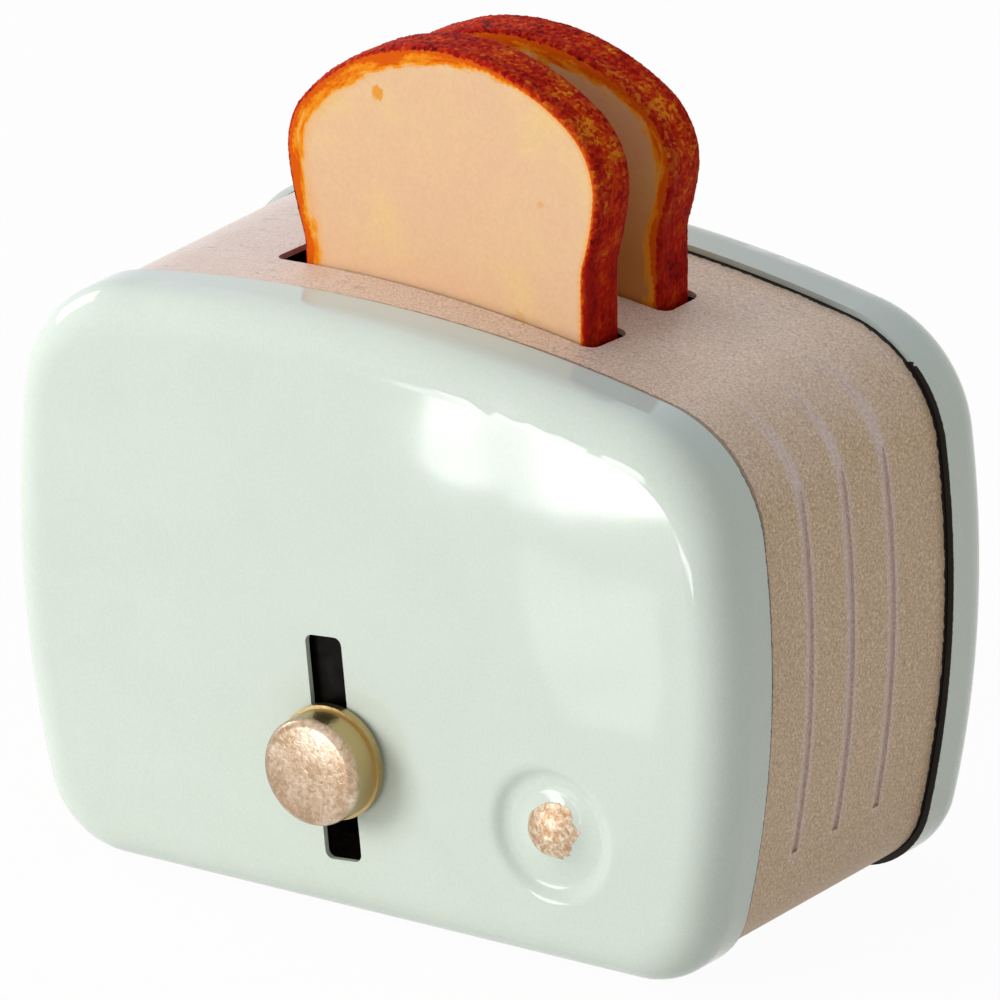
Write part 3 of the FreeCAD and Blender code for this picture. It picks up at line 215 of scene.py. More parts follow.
flake = add(tree, "ShaderNodeTexNoise",
            {"Vector": place, "Scale": 1 / 0.35, "Detail": 3.0, "Distortion": 0.6}).outputs["Fac"]
gilt = add(tree, "ShaderNodeValToRGB", {"Fac": flake}, [(0.32, "b48d68"), (0.5, "d0b394"), (0.68, "ecd9c4")])
both = add(tree, "ShaderNodeMix", {FAC: dab, LEFT: mint, RIGHT: gilt.outputs["Color"]}, data_type="RGBA")
rough = add(tree, "ShaderNodeMapRange", {"Value": dab, "To Min": GLOSS, "To Max": SATIN})
metal = add(tree, "ShaderNodeMath", {0: dab, 1: 0.7}, operation="MULTIPLY")
scrape = add(tree, "ShaderNodeMath", {0: flake, 1: dab}, operation="MULTIPLY")
grain = add(tree, "ShaderNodeBump",
            {"Height": scrape.outputs[0], "Strength": 1.0, "Distance": 0.05 * MM, "Normal": waves})
joined(tree, skin, Base_Color=both.outputs[MIXED], Metallic=metal.outputs[0],
       Normal=grain.outputs["Normal"], Roughness=rough.outputs["Result"])
print("gold dab ready")

# %% [markdown]
# ## Sandy champagne coat
# The band has a fine metallic coat that feels like sand, with grains a fifth of a millimetre wide.
# It is tan on the sides and pinker and lighter on the crown, partly its own tone and partly painted light
# for the sheen and light that the top catches; towards the left the crown is painted paler still, as a
# painted sheen.  Real grains would be millions of faces, so a noise of that width gives both their colours
# and their relief.

# %% Colours of the coat
# metallic wrinkle coat: dull sheen, mottled, faint cracks on the crown
sandy_coat, tree, skin, place = finish_of("sandy_champagne_coat")
spot = add(tree, "ShaderNodeSeparateXYZ", {"Vector": place}).outputs
sand = add(tree, "ShaderNodeTexNoise",
           {"Vector": place, "Scale": 1 / 0.2, "Detail": 2.0, "Roughness": 0.6}).outputs["Fac"]
mottle = add(tree, "ShaderNodeTexNoise", {"Vector": place, "Scale": 1 / 4, "Detail": 3.0}).outputs["Fac"]
tan = add(tree, "ShaderNodeValToRGB", {"Fac": sand},
          [(0.30, "b49777"), (0.46, "cfb190"), (0.56, "d9bc9a"), (0.70, "eed7b8")])
pink = add(tree, "ShaderNodeValToRGB", {"Fac": sand},
           [(0.30, "c6b0a2"), (0.46, "e0cbbc"), (0.56, "e8d5c7"), (0.70, "f6e8de")])
wander = add(tree, "ShaderNodeMath", {0: mottle, 1: 8.0, 2: spot["Z"]}, operation="MULTIPLY_ADD")
# partly painted light: the crown's pinker, lighter coat is partly its own tone, partly the sheen and light
# that the top catches
crown = add(tree, "ShaderNodeMapRange",
            {"Value": wander.outputs[0], "From Min": 39.0, "From Max": 48.0}).outputs["Result"]
coat = add(tree, "ShaderNodeMix", {FAC: crown, LEFT: tan.outputs["Color"], RIGHT: pink.outputs["Color"]},
           data_type="RGBA").outputs[MIXED]
# painted sheen: the crown turns paler and pinker towards its left end
sheen_reach = add(tree, "ShaderNodeMapRange",
            {"Value": spot["X"], "From Min": -6.0, "From Max": -24.0, "To Max": 0.6})
painted_sheen = add(tree, "ShaderNodeMath", {0: crown, 1: sheen_reach.outputs["Result"]}, operation="MULTIPLY")
coat = add(tree, "ShaderNodeMix", {FAC: painted_sheen.outputs[0], LEFT: coat, RIGHT: paint("f2e4e2")},
           data_type="RGBA").outputs[MIXED]
print("coat colours ready")

# %% [markdown]
# Three grooves are pressed into each side, and a pale mauve is painted along them: a painted highlight,
# which also lightens the shade in the grooves.  They fade out over the shoulder, where they are too shallow
# for the construction, so the finish carries each notch on as relief.  A ping-pong of the depth gives the
# way from the nearest groove, for all three at once.

# %% Grooves with a painted highlight
GROOVE_MIDDLE, GROOVE_PITCH = 0.7, 5.15
GROOVE_FOOT, GROOVE_FULL = 7.0, 9.0      # heights between which the painted mauve highlight sets in
GROOVE_TOP, GROOVE_FADE = 38.55, 41.6    # heights where a pressed groove ends and its notch has faded
NOTCH = 0.12             # depth of the notch over the shoulder

centred = add(tree, "ShaderNodeMath", {0: spot["Y"], 1: -GROOVE_MIDDLE}, operation="ADD").outputs[0]
away = add(tree, "ShaderNodeMath", {0: centred, 1: GROOVE_PITCH / 2}, operation="PINGPONG").outputs[0]
outer = add(tree, "ShaderNodeMath", {0: centred}, operation="ABSOLUTE").outputs[0]
among = add(tree, "ShaderNodeMath", {0: outer, 1: GROOVE_PITCH + 1}, operation="LESS_THAN").outputs[0]
rise = add(tree, "ShaderNodeMapRange",
           {"Value": spot["Z"], "From Min": GROOVE_FOOT, "From Max": GROOVE_FULL}).outputs["Result"]
fade = add(tree, "ShaderNodeMapRange",
           {"Value": spot["Z"], "From Min": GROOVE_FADE, "From Max": GROOVE_TOP}).outputs["Result"]
stripe = add(tree, "ShaderNodeMapRange", {"Value": away, "From Min": 0.9, "From Max": 0.3}).outputs["Result"]
painted_groove_light = among
for share in (rise, fade, stripe, 0.85):
    painted_groove_light = add(tree, "ShaderNodeMath", {0: painted_groove_light, 1: share}, operation="MULTIPLY").outputs[0]
# painted highlight: a pale mauve along each groove, lightening the shade of its walls
mauve = add(tree, "ShaderNodeValToRGB", {"Fac": sand}, [(0.3, "cfb8b0"), (0.7, "efdcd6")])
coat = add(tree, "ShaderNodeMix", {FAC: painted_groove_light, LEFT: coat, RIGHT: mauve.outputs["Color"]},
           data_type="RGBA").outputs[MIXED]

notch = add(tree, "ShaderNodeMapRange", {"Value": away, "From Min": 0.4, "From Max": 0.1},
            interpolation_type="SMOOTHSTEP").outputs["Result"]
above = add(tree, "ShaderNodeMath", {0: spot["Z"], 1: GROOVE_TOP}, operation="GREATER_THAN").outputs[0]
pressed = notch
for share in (above, fade, among, -NOTCH):
    pressed = add(tree, "ShaderNodeMath", {0: pressed, 1: share}, operation="MULTIPLY").outputs[0]
print("grooves", GROOVE_PITCH, "mm apart")

# %% [markdown]
# Painted shade sits in the corners at both rims: a ragged dark line beside the front rim, where its edge
# shades the band, and a dark gap with a soft brown shade beside it at the rear rim.  Each is one more colour
# with a share that depends on the way from the rim.

# %% Painted shade at the rims
ragged = add(tree, "ShaderNodeTexNoise", {"Vector": place, "Scale": 1 / 0.5, "Detail": 2.0}).outputs["Fac"]
# painted shadow: a ragged dark line on the band behind the front rim's edge
rim_shade_reach = add(tree, "ShaderNodeMapRange",
                 {"Value": spot["Z"], "From Min": 33.0, "From Max": 43.0,
                  "To Min": FRONT_RIM + 0.6, "To Max": FRONT_RIM + 1.0})
rim_shade_edge = add(tree, "ShaderNodeMath", {0: ragged, 1: 0.4, 2: rim_shade_reach.outputs["Result"]},
                operation="MULTIPLY_ADD")
painted_rim_shade = add(tree, "ShaderNodeMath", {0: spot["Y"], 1: rim_shade_edge.outputs[0]}, operation="LESS_THAN")
# painted shade: a soft brown darkening of the band towards the rear rim
painted_soft_shade = add(tree, "ShaderNodeMapRange",
           {"Value": spot["Y"], "From Min": REAR_RIM - 1.3, "From Max": REAR_RIM - 0.1})
# painted shade: the near-black gap under the rear rim
gap_edge = add(tree, "ShaderNodeMath", {0: ragged, 1: -0.5, 2: REAR_RIM - 0.1}, operation="MULTIPLY_ADD")
painted_gap_shade = add(tree, "ShaderNodeMath", {0: spot["Y"], 1: gap_edge.outputs[0]}, operation="GREATER_THAN")
for share, strength, code in ((painted_rim_shade.outputs[0], 0.6, "5b4630"), (painted_soft_shade.outputs["Result"], 0.3, "6b5a3e"),
                              (painted_gap_shade.outputs[0], 1.0, "17110a")):
    part = add(tree, "ShaderNodeMath", {0: share, 1: strength}, operation="MULTIPLY")
    coat = add(tree, "ShaderNodeMix", {FAC: part.outputs[0], LEFT: coat, RIGHT: paint(code)},
               data_type="RGBA").outputs[MIXED]
print("painted_shade ready")

# %% [markdown]
# Fine cracks cross the crown in places.  Drawn curves could make them, but the points where a noise
# has one value already lie on thin wandering lines, and a stretch makes them run across the band.

# %% Cracks on the crown, and the coat's relief
stretch = add(tree, "ShaderNodeVectorMath", {0: place, 1: (0.35, 1.5, 0.35)}, operation="MULTIPLY")
lines = add(tree, "ShaderNodeTexNoise", {"Vector": stretch.outputs[0], "Scale": 1 / 1.5, "Detail": 3.0})
level = add(tree, "ShaderNodeMath", {0: lines.outputs["Fac"], 1: 0.5, 2: 0.008}, operation="COMPARE")
patchy = add(tree, "ShaderNodeMapRange",
             {"Value": mottle, "From Min": 0.48, "From Max": 0.6, "To Max": 0.35}).outputs["Result"]
cracked = level.outputs[0]
for share in (patchy, crown):
    cracked = add(tree, "ShaderNodeMath", {0: cracked, 1: share}, operation="MULTIPLY").outputs[0]
coat = add(tree, "ShaderNodeMix", {FAC: cracked, LEFT: coat, RIGHT: paint("6e5644")},
           data_type="RGBA").outputs[MIXED]

# relief in millimetres: sand everywhere, and the grooves' notches over the shoulder
relief = add(tree, "ShaderNodeMath", {0: sand, 1: 0.03, 2: pressed}, operation="MULTIPLY_ADD")
bumps = add(tree, "ShaderNodeBump", {"Height": relief.outputs[0], "Strength": 1.0, "Distance": MM})
joined(tree, skin, Base_Color=coat, Normal=bumps.outputs["Normal"])
skin.inputs["Metallic"].default_value = 0.1
skin.inputs["Roughness"].default_value = 0.5
print("coat ready")

# %% [markdown]
# ## Gold lacquer
# The knob is turned metal under a gold lacquer laid on by brush: warm and pinkish, finely dented like
# hammered brass, and a little domed, so its light gathers towards one side.  Its barrel is painted a darker
# olive, a painted reflection of the dim, shaded mint face beside it.
# The dome is only a fifth of a millimetre high, so the relief in the finish stands for it.

# %% Gold lacquer
KNOB = (-2.3, 12.2)      # axis of the knob, across and up
FACE_END, BARREL_START = -18.7, -18.3    # depths between which the face's gold turns to the barrel's painted darker olive
DOME = 0.012             # the face falls by this much times the squared way from the axis

# brushed gold lacquer on metal: soft broad shine, broken by worm-like dents 0.4 mm wide
gold_lacquer, tree, skin, place = finish_of("brushed_gold_lacquer")
dents = add(tree, "ShaderNodeTexNoise",
            {"Vector": place, "Scale": 1 / 0.4, "Detail": 3.0, "Roughness": 0.5, "Distortion": 0.8})
cloud = add(tree, "ShaderNodeTexNoise", {"Vector": place, "Scale": 1 / 2.5, "Detail": 2.0})
summed = add(tree, "ShaderNodeMath", {0: dents.outputs["Fac"], 1: cloud.outputs["Fac"]}, operation="ADD")
half = add(tree, "ShaderNodeMath", {0: summed.outputs[0], 1: 0.5}, operation="MULTIPLY")
tone = add(tree, "ShaderNodeValToRGB", {"Fac": half.outputs[0]},
           [(0.38, "b3967a"), (0.5, "cbb298"), (0.62, "dfcdba")])
depth = add(tree, "ShaderNodeSeparateXYZ", {"Vector": place}).outputs["Y"]
barrel = add(tree, "ShaderNodeMapRange", {"Value": depth, "From Min": FACE_END, "From Max": BARREL_START})
# painted reflection and shade: the barrel turns a darker olive, for the dim mint face that it mirrors
painted_barrel_shade = add(tree, "ShaderNodeMix",
           {FAC: barrel.outputs["Result"], LEFT: tone.outputs["Color"], RIGHT: paint("bfa878")},
           data_type="RGBA")

shift = add(tree, "ShaderNodeVectorMath", {0: place, 1: (KNOB[0], 0, KNOB[1])}, operation="SUBTRACT")
flat = add(tree, "ShaderNodeVectorMath", {0: shift.outputs[0], 1: (1, 0, 1)}, operation="MULTIPLY")
square = add(tree, "ShaderNodeVectorMath", {0: flat.outputs[0], 1: flat.outputs[0]}, operation="DOT_PRODUCT")
domed = add(tree, "ShaderNodeMath", {0: square.outputs["Value"], 1: -DOME}, operation="MULTIPLY")
relief = add(tree, "ShaderNodeMath", {0: dents.outputs["Fac"], 1: 0.035, 2: domed.outputs[0]},
             operation="MULTIPLY_ADD")
bumps = add(tree, "ShaderNodeBump", {"Height": relief.outputs[0], "Strength": 1.0, "Distance": MM})
joined(tree, skin, Base_Color=painted_barrel_shade.outputs[MIXED], Normal=bumps.outputs["Normal"])
skin.inputs["Metallic"].default_value = 1.0
skin.inputs["Roughness"].default_value = 0.33
print("gold ready")


# %% [markdown]
# ## Finishes of the works inside
# Zinc plate has a faint crystal bloom, black oxide is dull with brown traces, and fibre and nylon
# are plain but never quite even.  They share one recipe with different values.

# %% Zinc, black oxide, fibre and nylon
def works_finish(name, dark, light, grain, depth, metallic, roughness):
    """Plain finish whose tone wanders between two colours, with a fine relief; sizes in millimetres."""
    made, tree, skin, place = finish_of(name)
    bloom = add(tree, "ShaderNodeTexNoise",
                {"Vector": place, "Scale": 1 / grain, "Detail": 4.0}).outputs["Fac"]
    tone = add(tree, "ShaderNodeValToRGB", {"Fac": bloom}, [(0.3, dark), (0.7, light)])
    relief = add(tree, "ShaderNodeBump", {"Height": bloom, "Strength": 0.6, "Distance": depth * MM})
    joined(tree, skin, Base_Color=tone.outputs["Color"], Normal=relief.outputs["Normal"])
    skin.inputs["Metallic"].default_value = metallic
    skin.inputs["Roughness"].default_value = roughness
    return made


zinc = works_finish("zinc_plated_steel", "9a9c9e", "c3c5c6", 1.2, 0.02, 1.0, 0.36)
# near black: the lever arm and the washer are what the lever slot shows, so their dark is partly their own
# finish and partly painted shade of the slot
black_oxide = works_finish("black_oxide_steel", "0b0a09", "1b1815", 0.9, 0.02, 0.9, 0.48)
fibre = works_finish("vulcanised_fibre", "14120f", "211e1a", 0.35, 0.02, 0.0, 0.7)
nylon = works_finish("natural_nylon", "d9d4c8", "e8e4da", 2.0, 0.01, 0.0, 0.42)
print("works finishes ready")

# %% Put the finishes on the construction's parts
FINISHES = {
    front_enamel: ["front_shell"],
    rear_enamel: ["rear_shell"],
    sandy_coat: ["casing_band"],
    gold_lacquer: ["lever_knob"],
    black_oxide: ["slot_sleeve_front", "slot_sleeve_rear", "lift_carriage", "lever_arm"],
    fibre: ["friction_washer"],
    nylon: ["carriage_bush_left", "carriage_bush_right"],
    zinc: ["mechanism_frame", "seam_rivets", "guide_rod_left", "guide_rod_right", "rod_nuts",
           "tie_post_lower_left", "tie_post_lower_right", "tie_post_upper_left", "tie_post_upper_right",
           "rear_screws", "arm_rivets", "lever_stem"],
}
for finish, names in FINISHES.items():
    for name in names:
        nodes[name].data.materials.clear()
        nodes[name].data.materials.append(finish)
print("finished", sum(len(names) for names in FINISHES.values()), "parts")

# %% [markdown]
# ## Bread slices
# Each slice is foam cut like a small loaf: a pale crumb and a dark crust.  It could be an extruded
# curve with a bevel, but its finish has to know where the crumb ends, so the mesh is built from rings.
# First comes the outline: a chain of arcs, sampled evenly and softened.

# %% Arcs of the outline
SHOULDER, CROWN = 6.0, 18.5              # radii of the shoulders and of the crown
CROWN_SHIFT = 1.3        # the crown's middle lies this far to the right
WIDEST = 27.0            # height of the cheeks' middles, where the slice is widest
FOOT = 0.1               # height of the foot's corners
# half width, radius of the cheek, height where the cheek ends, half width of the foot
SIDES = {1: (14.4, 20.0, 20.0, 13.0), -1: (14.3, 30.0, 17.0, 12.1)}


def corner_between(first, first_radius, second, second_radius, radius, sign):
    """Middle of the arc that rounds the corner where two circles cross."""
    apart = second - first
    one, two = first_radius - radius, second_radius - radius
    along = (apart.length_squared + one * one - two * two) / (2 * apart.length)
    aside = math.sqrt(one * one - along * along)
    way = apart.normalized()
    return first + way * along + Vector((-way.y, way.x)) * aside * sign


def arc(middle, radius, start, end, steps=60):
    """Points of an arc, counter-clockwise from one direction to another."""
    first = math.atan2(start.y - middle.y, start.x - middle.x)
    last = math.atan2(end.y - middle.y, end.x - middle.x)
    last += 2 * math.pi * (last < first)
    turns = [first + (last - first) * i / steps for i in range(steps + 1)]
    return [middle + Vector((math.cos(turn), math.sin(turn))) * radius for turn in turns]


def chain_of_arcs(height):
    """Points along the outline (across, up) in millimetres, counter-clockwise from the foot's right end."""
    crown = Vector((CROWN_SHIFT, height - CROWN))
    flanks, ends = {}, {}
    for side, (half, cheek, neck, foot) in SIDES.items():
        middle = Vector((side * (half - cheek), WIDEST))
        turn = corner_between(crown, CROWN, middle, cheek, SHOULDER, -side)
        low = Vector((middle.x + side * math.sqrt(cheek ** 2 - (WIDEST - neck) ** 2), neck))
        top = middle + (turn - middle).normalized() * cheek
        ends[side] = crown + (turn - crown).normalized() * CROWN
        corner = Vector((side * foot, FOOT))
        if side > 0:
            flanks[side] = [corner, *arc(middle, cheek, low, top), *arc(turn, SHOULDER, top, ends[side])]
        else:
            flanks[side] = [*arc(turn, SHOULDER, ends[side], top), *arc(middle, cheek, top, low), corner]
    return [*flanks[1], *arc(crown, CROWN, ends[1], ends[-1]), *flanks[-1]]


print("outline of a slice", len(chain_of_arcs(34.0)), "points before they are spaced evenly")

# %% Even, softened outline
OUTLINE_POINTS, SOFTENINGS = 1000, 30


def slice_outline(height):
    """Even loop of points along the chain of arcs, each softened by its neighbours."""
    loop = chain_of_arcs(height)
    points = np.array([*loop, loop[0]])
    steps = np.concatenate([[0], np.cumsum(np.linalg.norm(np.diff(points, axis=0), axis=1))])
    at = np.linspace(0, steps[-1], OUTLINE_POINTS, endpoint=False)
    even = np.column_stack([np.interp(at, steps, points[:, k]) for k in (0, 1)])
    for _ in range(SOFTENINGS):
        even = (np.roll(even, 1, 0) + 2 * even + np.roll(even, -1, 0)) / 4
    return even


outline = slice_outline(34.0)
print("outline", len(outline), "points, spans", (outline.max(0) - outline.min(0)).round(2), "mm")

# %% [markdown]
# Rings of points run from the middle of one cut face over the rounded rim and the crust to the other
# face.  Every point remembers how far it lies past the edge of the crumb and how far along the edge,
# and the finish reads both.

# %% Rings of a slice
THICK = 3.8
RIM = 0.5                # radius between crumb and crust
RIM_RINGS, CRUST_RINGS = 8, 13           # rings round the rim and from there to the middle of the crust
CRUMB_SHARES = (0.02, 0.15, 0.3, 0.5, 0.7, 0.8, 0.86, 0.9, 0.93, 0.955, 0.975, 0.99)


def slice_rings(loop):
    """Middle of the crumb and rings from there to mid-crust, each with points, depth, way past the edge."""
    ahead, behind = np.roll(loop, -1, 0), np.roll(loop, 1, 0)
    normal = np.column_stack([(ahead - behind)[:, 1], -(ahead - behind)[:, 0]])
    normal /= np.linalg.norm(normal, axis=1)[:, None]
    heart, crumb_edge, flat = loop.mean(0), loop - normal * RIM, THICK / 2 - RIM
    rings = []
    for share in CRUMB_SHARES:
        ring = heart + (crumb_edge - heart) * share
        depth = np.sqrt(((ring[:, None, :] - crumb_edge[None, ::5, :]) ** 2).sum(2)).min(1)
        rings.append((ring, -THICK / 2, -depth))
    for k in range(RIM_RINGS):
        turn = math.pi / 2 * k / (RIM_RINGS - 1)
        rings.append((loop - normal * RIM * (1 - math.sin(turn)), -flat - RIM * math.cos(turn),
                      np.full(len(loop), RIM * turn)))
    for k in range(1, CRUST_RINGS + 1):
        past = RIM * math.pi / 2 + flat * k / CRUST_RINGS
        rings.append((loop, -flat * (1 - k / CRUST_RINGS), np.full(len(loop), past)))
    return heart, rings


print("rings from one crumb to the other", 2 * (len(CRUMB_SHARES) + RIM_RINGS + CRUST_RINGS) - 1)

# %% Mesh of a slice
DEEP = -9.0              # way past the edge that the two middle points carry


def ring_faces(count, rings):
    """Faces between rings of points, with a fan round the point before and the point after them."""
    faces = [(0, 1 + i, 1 + (i + 1) % count) for i in range(count)]
    for r in range(rings - 1):
        a, b = 1 + r * count, 1 + (r + 1) * count
        faces += [(a + i, b + i, b + (i + 1) % count, a + (i + 1) % count) for i in range(count)]
    a = 1 + (rings - 1) * count
    return faces + [(a + i, 1 + rings * count, a + (i + 1) % count) for i in range(count)]


def slice_mesh(name, place, turn, height):
    """Closed slice, turned about its upright axis, whose points carry their way past and along the edge."""
    loop = slice_outline(height)
    count = len(loop)
    heart, front = slice_rings(loop)
    rings = front + [(ring, -depth, past) for ring, depth, past in reversed(front[:-1])]
    points = np.concatenate([[(heart[0], -THICK / 2, heart[1])],
                             *[np.column_stack([ring[:, 0], np.full(count, depth), ring[:, 1]])
                               for ring, depth, _ in rings],
                             [(heart[0], THICK / 2, heart[1])]])
    past = np.concatenate([[DEEP], *[way for _, _, way in rings], [DEEP]])
    length = np.linalg.norm(np.diff(loop, axis=0), axis=1).sum()
    along = np.concatenate([[0.0], np.tile(np.linspace(0, length, count), len(rings)), [0.0]])
    c, s = math.cos(turn), math.sin(turn)
    placed = np.column_stack([c * points[:, 0] - s * points[:, 1] + place[0],
                              s * points[:, 0] + c * points[:, 1] + place[1], points[:, 2] + place[2]]) * MM
    mesh = bpy.data.meshes.new(name)
    mesh.from_pydata(placed.tolist(), [], ring_faces(count, len(rings)))
    for word, values in (("past_edge", past), ("along_edge", along)):
        mesh.attributes.new(word, "FLOAT", "POINT").data.foreach_set("value", values)
    made = bmesh.new()
    made.from_mesh(mesh)
    bmesh.ops.recalc_face_normals(made, faces=made.faces)
    made.to_mesh(mesh)
    made.free()
    mesh.shade_smooth()
    piece = bpy.data.objects.new(name, mesh)
    bpy.context.scene.collection.objects.link(piece)
    return piece


# %% [markdown]
# ## Bread finish
# The crumb is pale, with a few stains, and the rear slice is painted orange-brown low on its front face, as
# painted shade from the front slice and the orange light that its crust throws back.  The foam is painted,
# so all of this is colour: noises with blotches, specks and frayed spots.

# %% Crumb of the bread
# across, up, radius and strength of each stain
STAINS = ((-5.7, 57.9, 0.55, 0.9), (8.8, 52.7, 0.3, 0.4), (6.8, 43.8, 0.6, 0.25))
FRONT_FACE = -3.7        # the front slice's front face lies before this depth
REAR_SLICE = 2.0         # the rear slice lies behind this depth

# painted foam: matt crumb, crust with a faint sheen on its granules
toasted_bread, tree, skin, place = finish_of("toasted_bread_foam")
past = add(tree, "ShaderNodeAttribute", attribute_name="past_edge").outputs["Fac"]
along = add(tree, "ShaderNodeAttribute", attribute_name="along_edge").outputs["Fac"]
spot = add(tree, "ShaderNodeSeparateXYZ", {"Vector": place}).outputs
blotch = add(tree, "ShaderNodeTexNoise", {"Vector": place, "Scale": 1 / 6, "Detail": 3.0}).outputs["Fac"]
speck = add(tree, "ShaderNodeTexNoise", {"Vector": place, "Scale": 1 / 0.35, "Detail": 3.0}).outputs["Fac"]
crumb = add(tree, "ShaderNodeValToRGB", {"Fac": blotch},
            [(0.34, "e9be99"), (0.5, "ebc198"), (0.62, "edc892"), (0.74, "efcb84")])
fine = add(tree, "ShaderNodeValToRGB", {"Fac": speck}, [(0.3, "e4b78e"), (0.7, "f1cda3")])
colour = add(tree, "ShaderNodeMix", {FAC: 0.3, LEFT: crumb.outputs["Color"], RIGHT: fine.outputs["Color"]},
             data_type="RGBA").outputs[MIXED]

front = add(tree, "ShaderNodeMath", {0: spot["Y"], 1: FRONT_FACE}, operation="LESS_THAN").outputs[0]
for across, up, radius, strength in STAINS:
    away = add(tree, "ShaderNodeVectorMath", {0: place, 1: (across, 0, up)}, operation="SUBTRACT")
    flat = add(tree, "ShaderNodeVectorMath", {0: away.outputs[0], 1: (1, 0, 1)}, operation="MULTIPLY")
    reach = add(tree, "ShaderNodeVectorMath", {0: flat.outputs[0]}, operation="LENGTH").outputs["Value"]
    frayed = add(tree, "ShaderNodeMath", {0: speck, 1: 1.6 * radius, 2: reach}, operation="MULTIPLY_ADD")
    share = add(tree, "ShaderNodeMapRange", {"Value": frayed.outputs[0], "From Min": 1.9 * radius,
                "From Max": 1.6 * radius, "To Max": strength})
    part = add(tree, "ShaderNodeMath", {0: share.outputs["Result"], 1: front}, operation="MULTIPLY")
    colour = add(tree, "ShaderNodeMix", {FAC: part.outputs[0], LEFT: colour, RIGHT: paint("eb9a26")},
                 data_type="RGBA").outputs[MIXED]

# painted shade and orange bounce light: the rear slice's front face turns orange-brown towards its foot
rear = add(tree, "ShaderNodeMath", {0: spot["Y"], 1: REAR_SLICE}, operation="GREATER_THAN").outputs[0]
behind = add(tree, "ShaderNodeMapRange",
             {"Value": spot["Y"], "From Min": 4.2, "From Max": 3.4}).outputs["Result"]
deep = add(tree, "ShaderNodeMapRange",
           {"Value": spot["Z"], "From Min": 63.0, "From Max": 46.0, "To Max": 0.8}).outputs["Result"]
painted_bounce_shade = rear
for share in (behind, deep):
    painted_bounce_shade = add(tree, "ShaderNodeMath", {0: painted_bounce_shade, 1: share}, operation="MULTIPLY").outputs[0]
colour = add(tree, "ShaderNodeMix", {FAC: painted_bounce_shade, LEFT: colour, RIGHT: paint("c47a26")},
             data_type="RGBA").outputs[MIXED]
print("crumb ready with", len(STAINS), "stains")

# %% [markdown]
# Towards the crust the crumb turns orange: a soft glow, then a ragged band that is wide on the left
# and thin on the right.  Both follow the edge, so they read the two values that each point carries.

# %% Glow and orange band
# streaks that follow the edge: long along it, narrow across it
lay = add(tree, "ShaderNodeCombineXYZ", {"X": along, "Y": past, "Z": spot["Y"]})
drawn = add(tree, "ShaderNodeVectorMath", {0: lay.outputs[0], 1: (0.35, 1.6, 0.3)}, operation="MULTIPLY")
streak = add(tree, "ShaderNodeTexNoise",
             {"Vector": drawn.outputs[0], "Scale": 1.0, "Detail": 4.0, "Roughness": 0.6}).outputs["Fac"]

glow_reach = add(tree, "ShaderNodeMapRange", {"Value": spot["X"], "From Min": -13.0, "From Max": 6.0,
                 "To Min": -2.2, "To Max": -0.5}).outputs["Result"]
glow = add(tree, "ShaderNodeMapRange",
           {"Value": past, "From Min": glow_reach, "From Max": 0.0, "To Max": 0.75}).outputs["Result"]
colour = add(tree, "ShaderNodeMix", {FAC: glow, LEFT: colour, RIGHT: paint("f0a440")},
             data_type="RGBA").outputs[MIXED]

thick = add(tree, "ShaderNodeMapRange", {"Value": spot["X"], "From Min": -3.0, "From Max": 9.0,
            "To Min": 1.15, "To Max": 0.1}).outputs["Result"]
wide = add(tree, "ShaderNodeMath", {0: rear, 1: 0.8, 2: thick}, operation="MULTIPLY_ADD").outputs[0]
share = add(tree, "ShaderNodeMath", {0: past, 1: wide}, operation="DIVIDE").outputs[0]
ragged = add(tree, "ShaderNodeMath", {0: streak, 1: 2.6, 2: share}, operation="MULTIPLY_ADD").outputs[0]
halo = add(tree, "ShaderNodeMapRange", {"Value": ragged, "From Min": 0.3, "From Max": 0.6}).outputs["Result"]
baked = add(tree, "ShaderNodeValToRGB", {"Fac": ragged},
            [(0.45, "f4a52c"), (0.8, "ee8414"), (1.0, "dd5c0c")])
colour = add(tree, "ShaderNodeMix", {FAC: halo, LEFT: colour, RIGHT: baked.outputs["Color"]},
             data_type="RGBA").outputs[MIXED]
print("orange band ready")

# %% [markdown]
# Then the crust starts: maroon and red-brown granules, with orange patches on the right shoulder and
# long streaks further down.  Granules, patches and streaks add up to one tone, and a colour ramp turns
# the tone to paint, so that they darken and brighten together as in a real bake.

# %% Crust of the bread
GRANULE = 0.3            # width of a granule on the crust, painted here and raised below

grains = add(tree, "ShaderNodeTexVoronoi", {"Vector": place, "Scale": 1 / GRANULE})
grain = add(tree, "ShaderNodeSeparateColor", {"Color": grains.outputs["Color"]}).outputs[0]
patch = add(tree, "ShaderNodeTexNoise",
            {"Vector": place, "Scale": 1 / 2.6, "Detail": 3.0, "Roughness": 0.6}).outputs["Fac"]
low = add(tree, "ShaderNodeMapRange",
          {"Value": spot["Z"], "From Min": 58.0, "From Max": 46.0}).outputs["Result"]
right = add(tree, "ShaderNodeMapRange",
            {"Value": spot["X"], "From Min": 0.0, "From Max": 12.0, "To Max": 0.14}).outputs["Result"]
grainy = add(tree, "ShaderNodeMapRange", {"Value": low, "To Min": 0.42, "To Max": 0.16}).outputs["Result"]
tone = add(tree, "ShaderNodeMath", {0: grain, 1: grainy}, operation="MULTIPLY").outputs[0]
for source, share in ((patch, 0.85), (streak, 0.55), (right, 1.0)):
    tone = add(tree, "ShaderNodeMath", {0: source, 1: share, 2: tone}, operation="MULTIPLY_ADD").outputs[0]
level = add(tree, "ShaderNodeMath", {0: tone, 1: -0.35}, operation="ADD")
crust = add(tree, "ShaderNodeValToRGB", {"Fac": level.outputs[0]},
            [(0.30, "5c0301"), (0.46, "a40e01"), (0.62, "c22003"), (0.80, "d24806"), (0.98, "ee8c1a")])

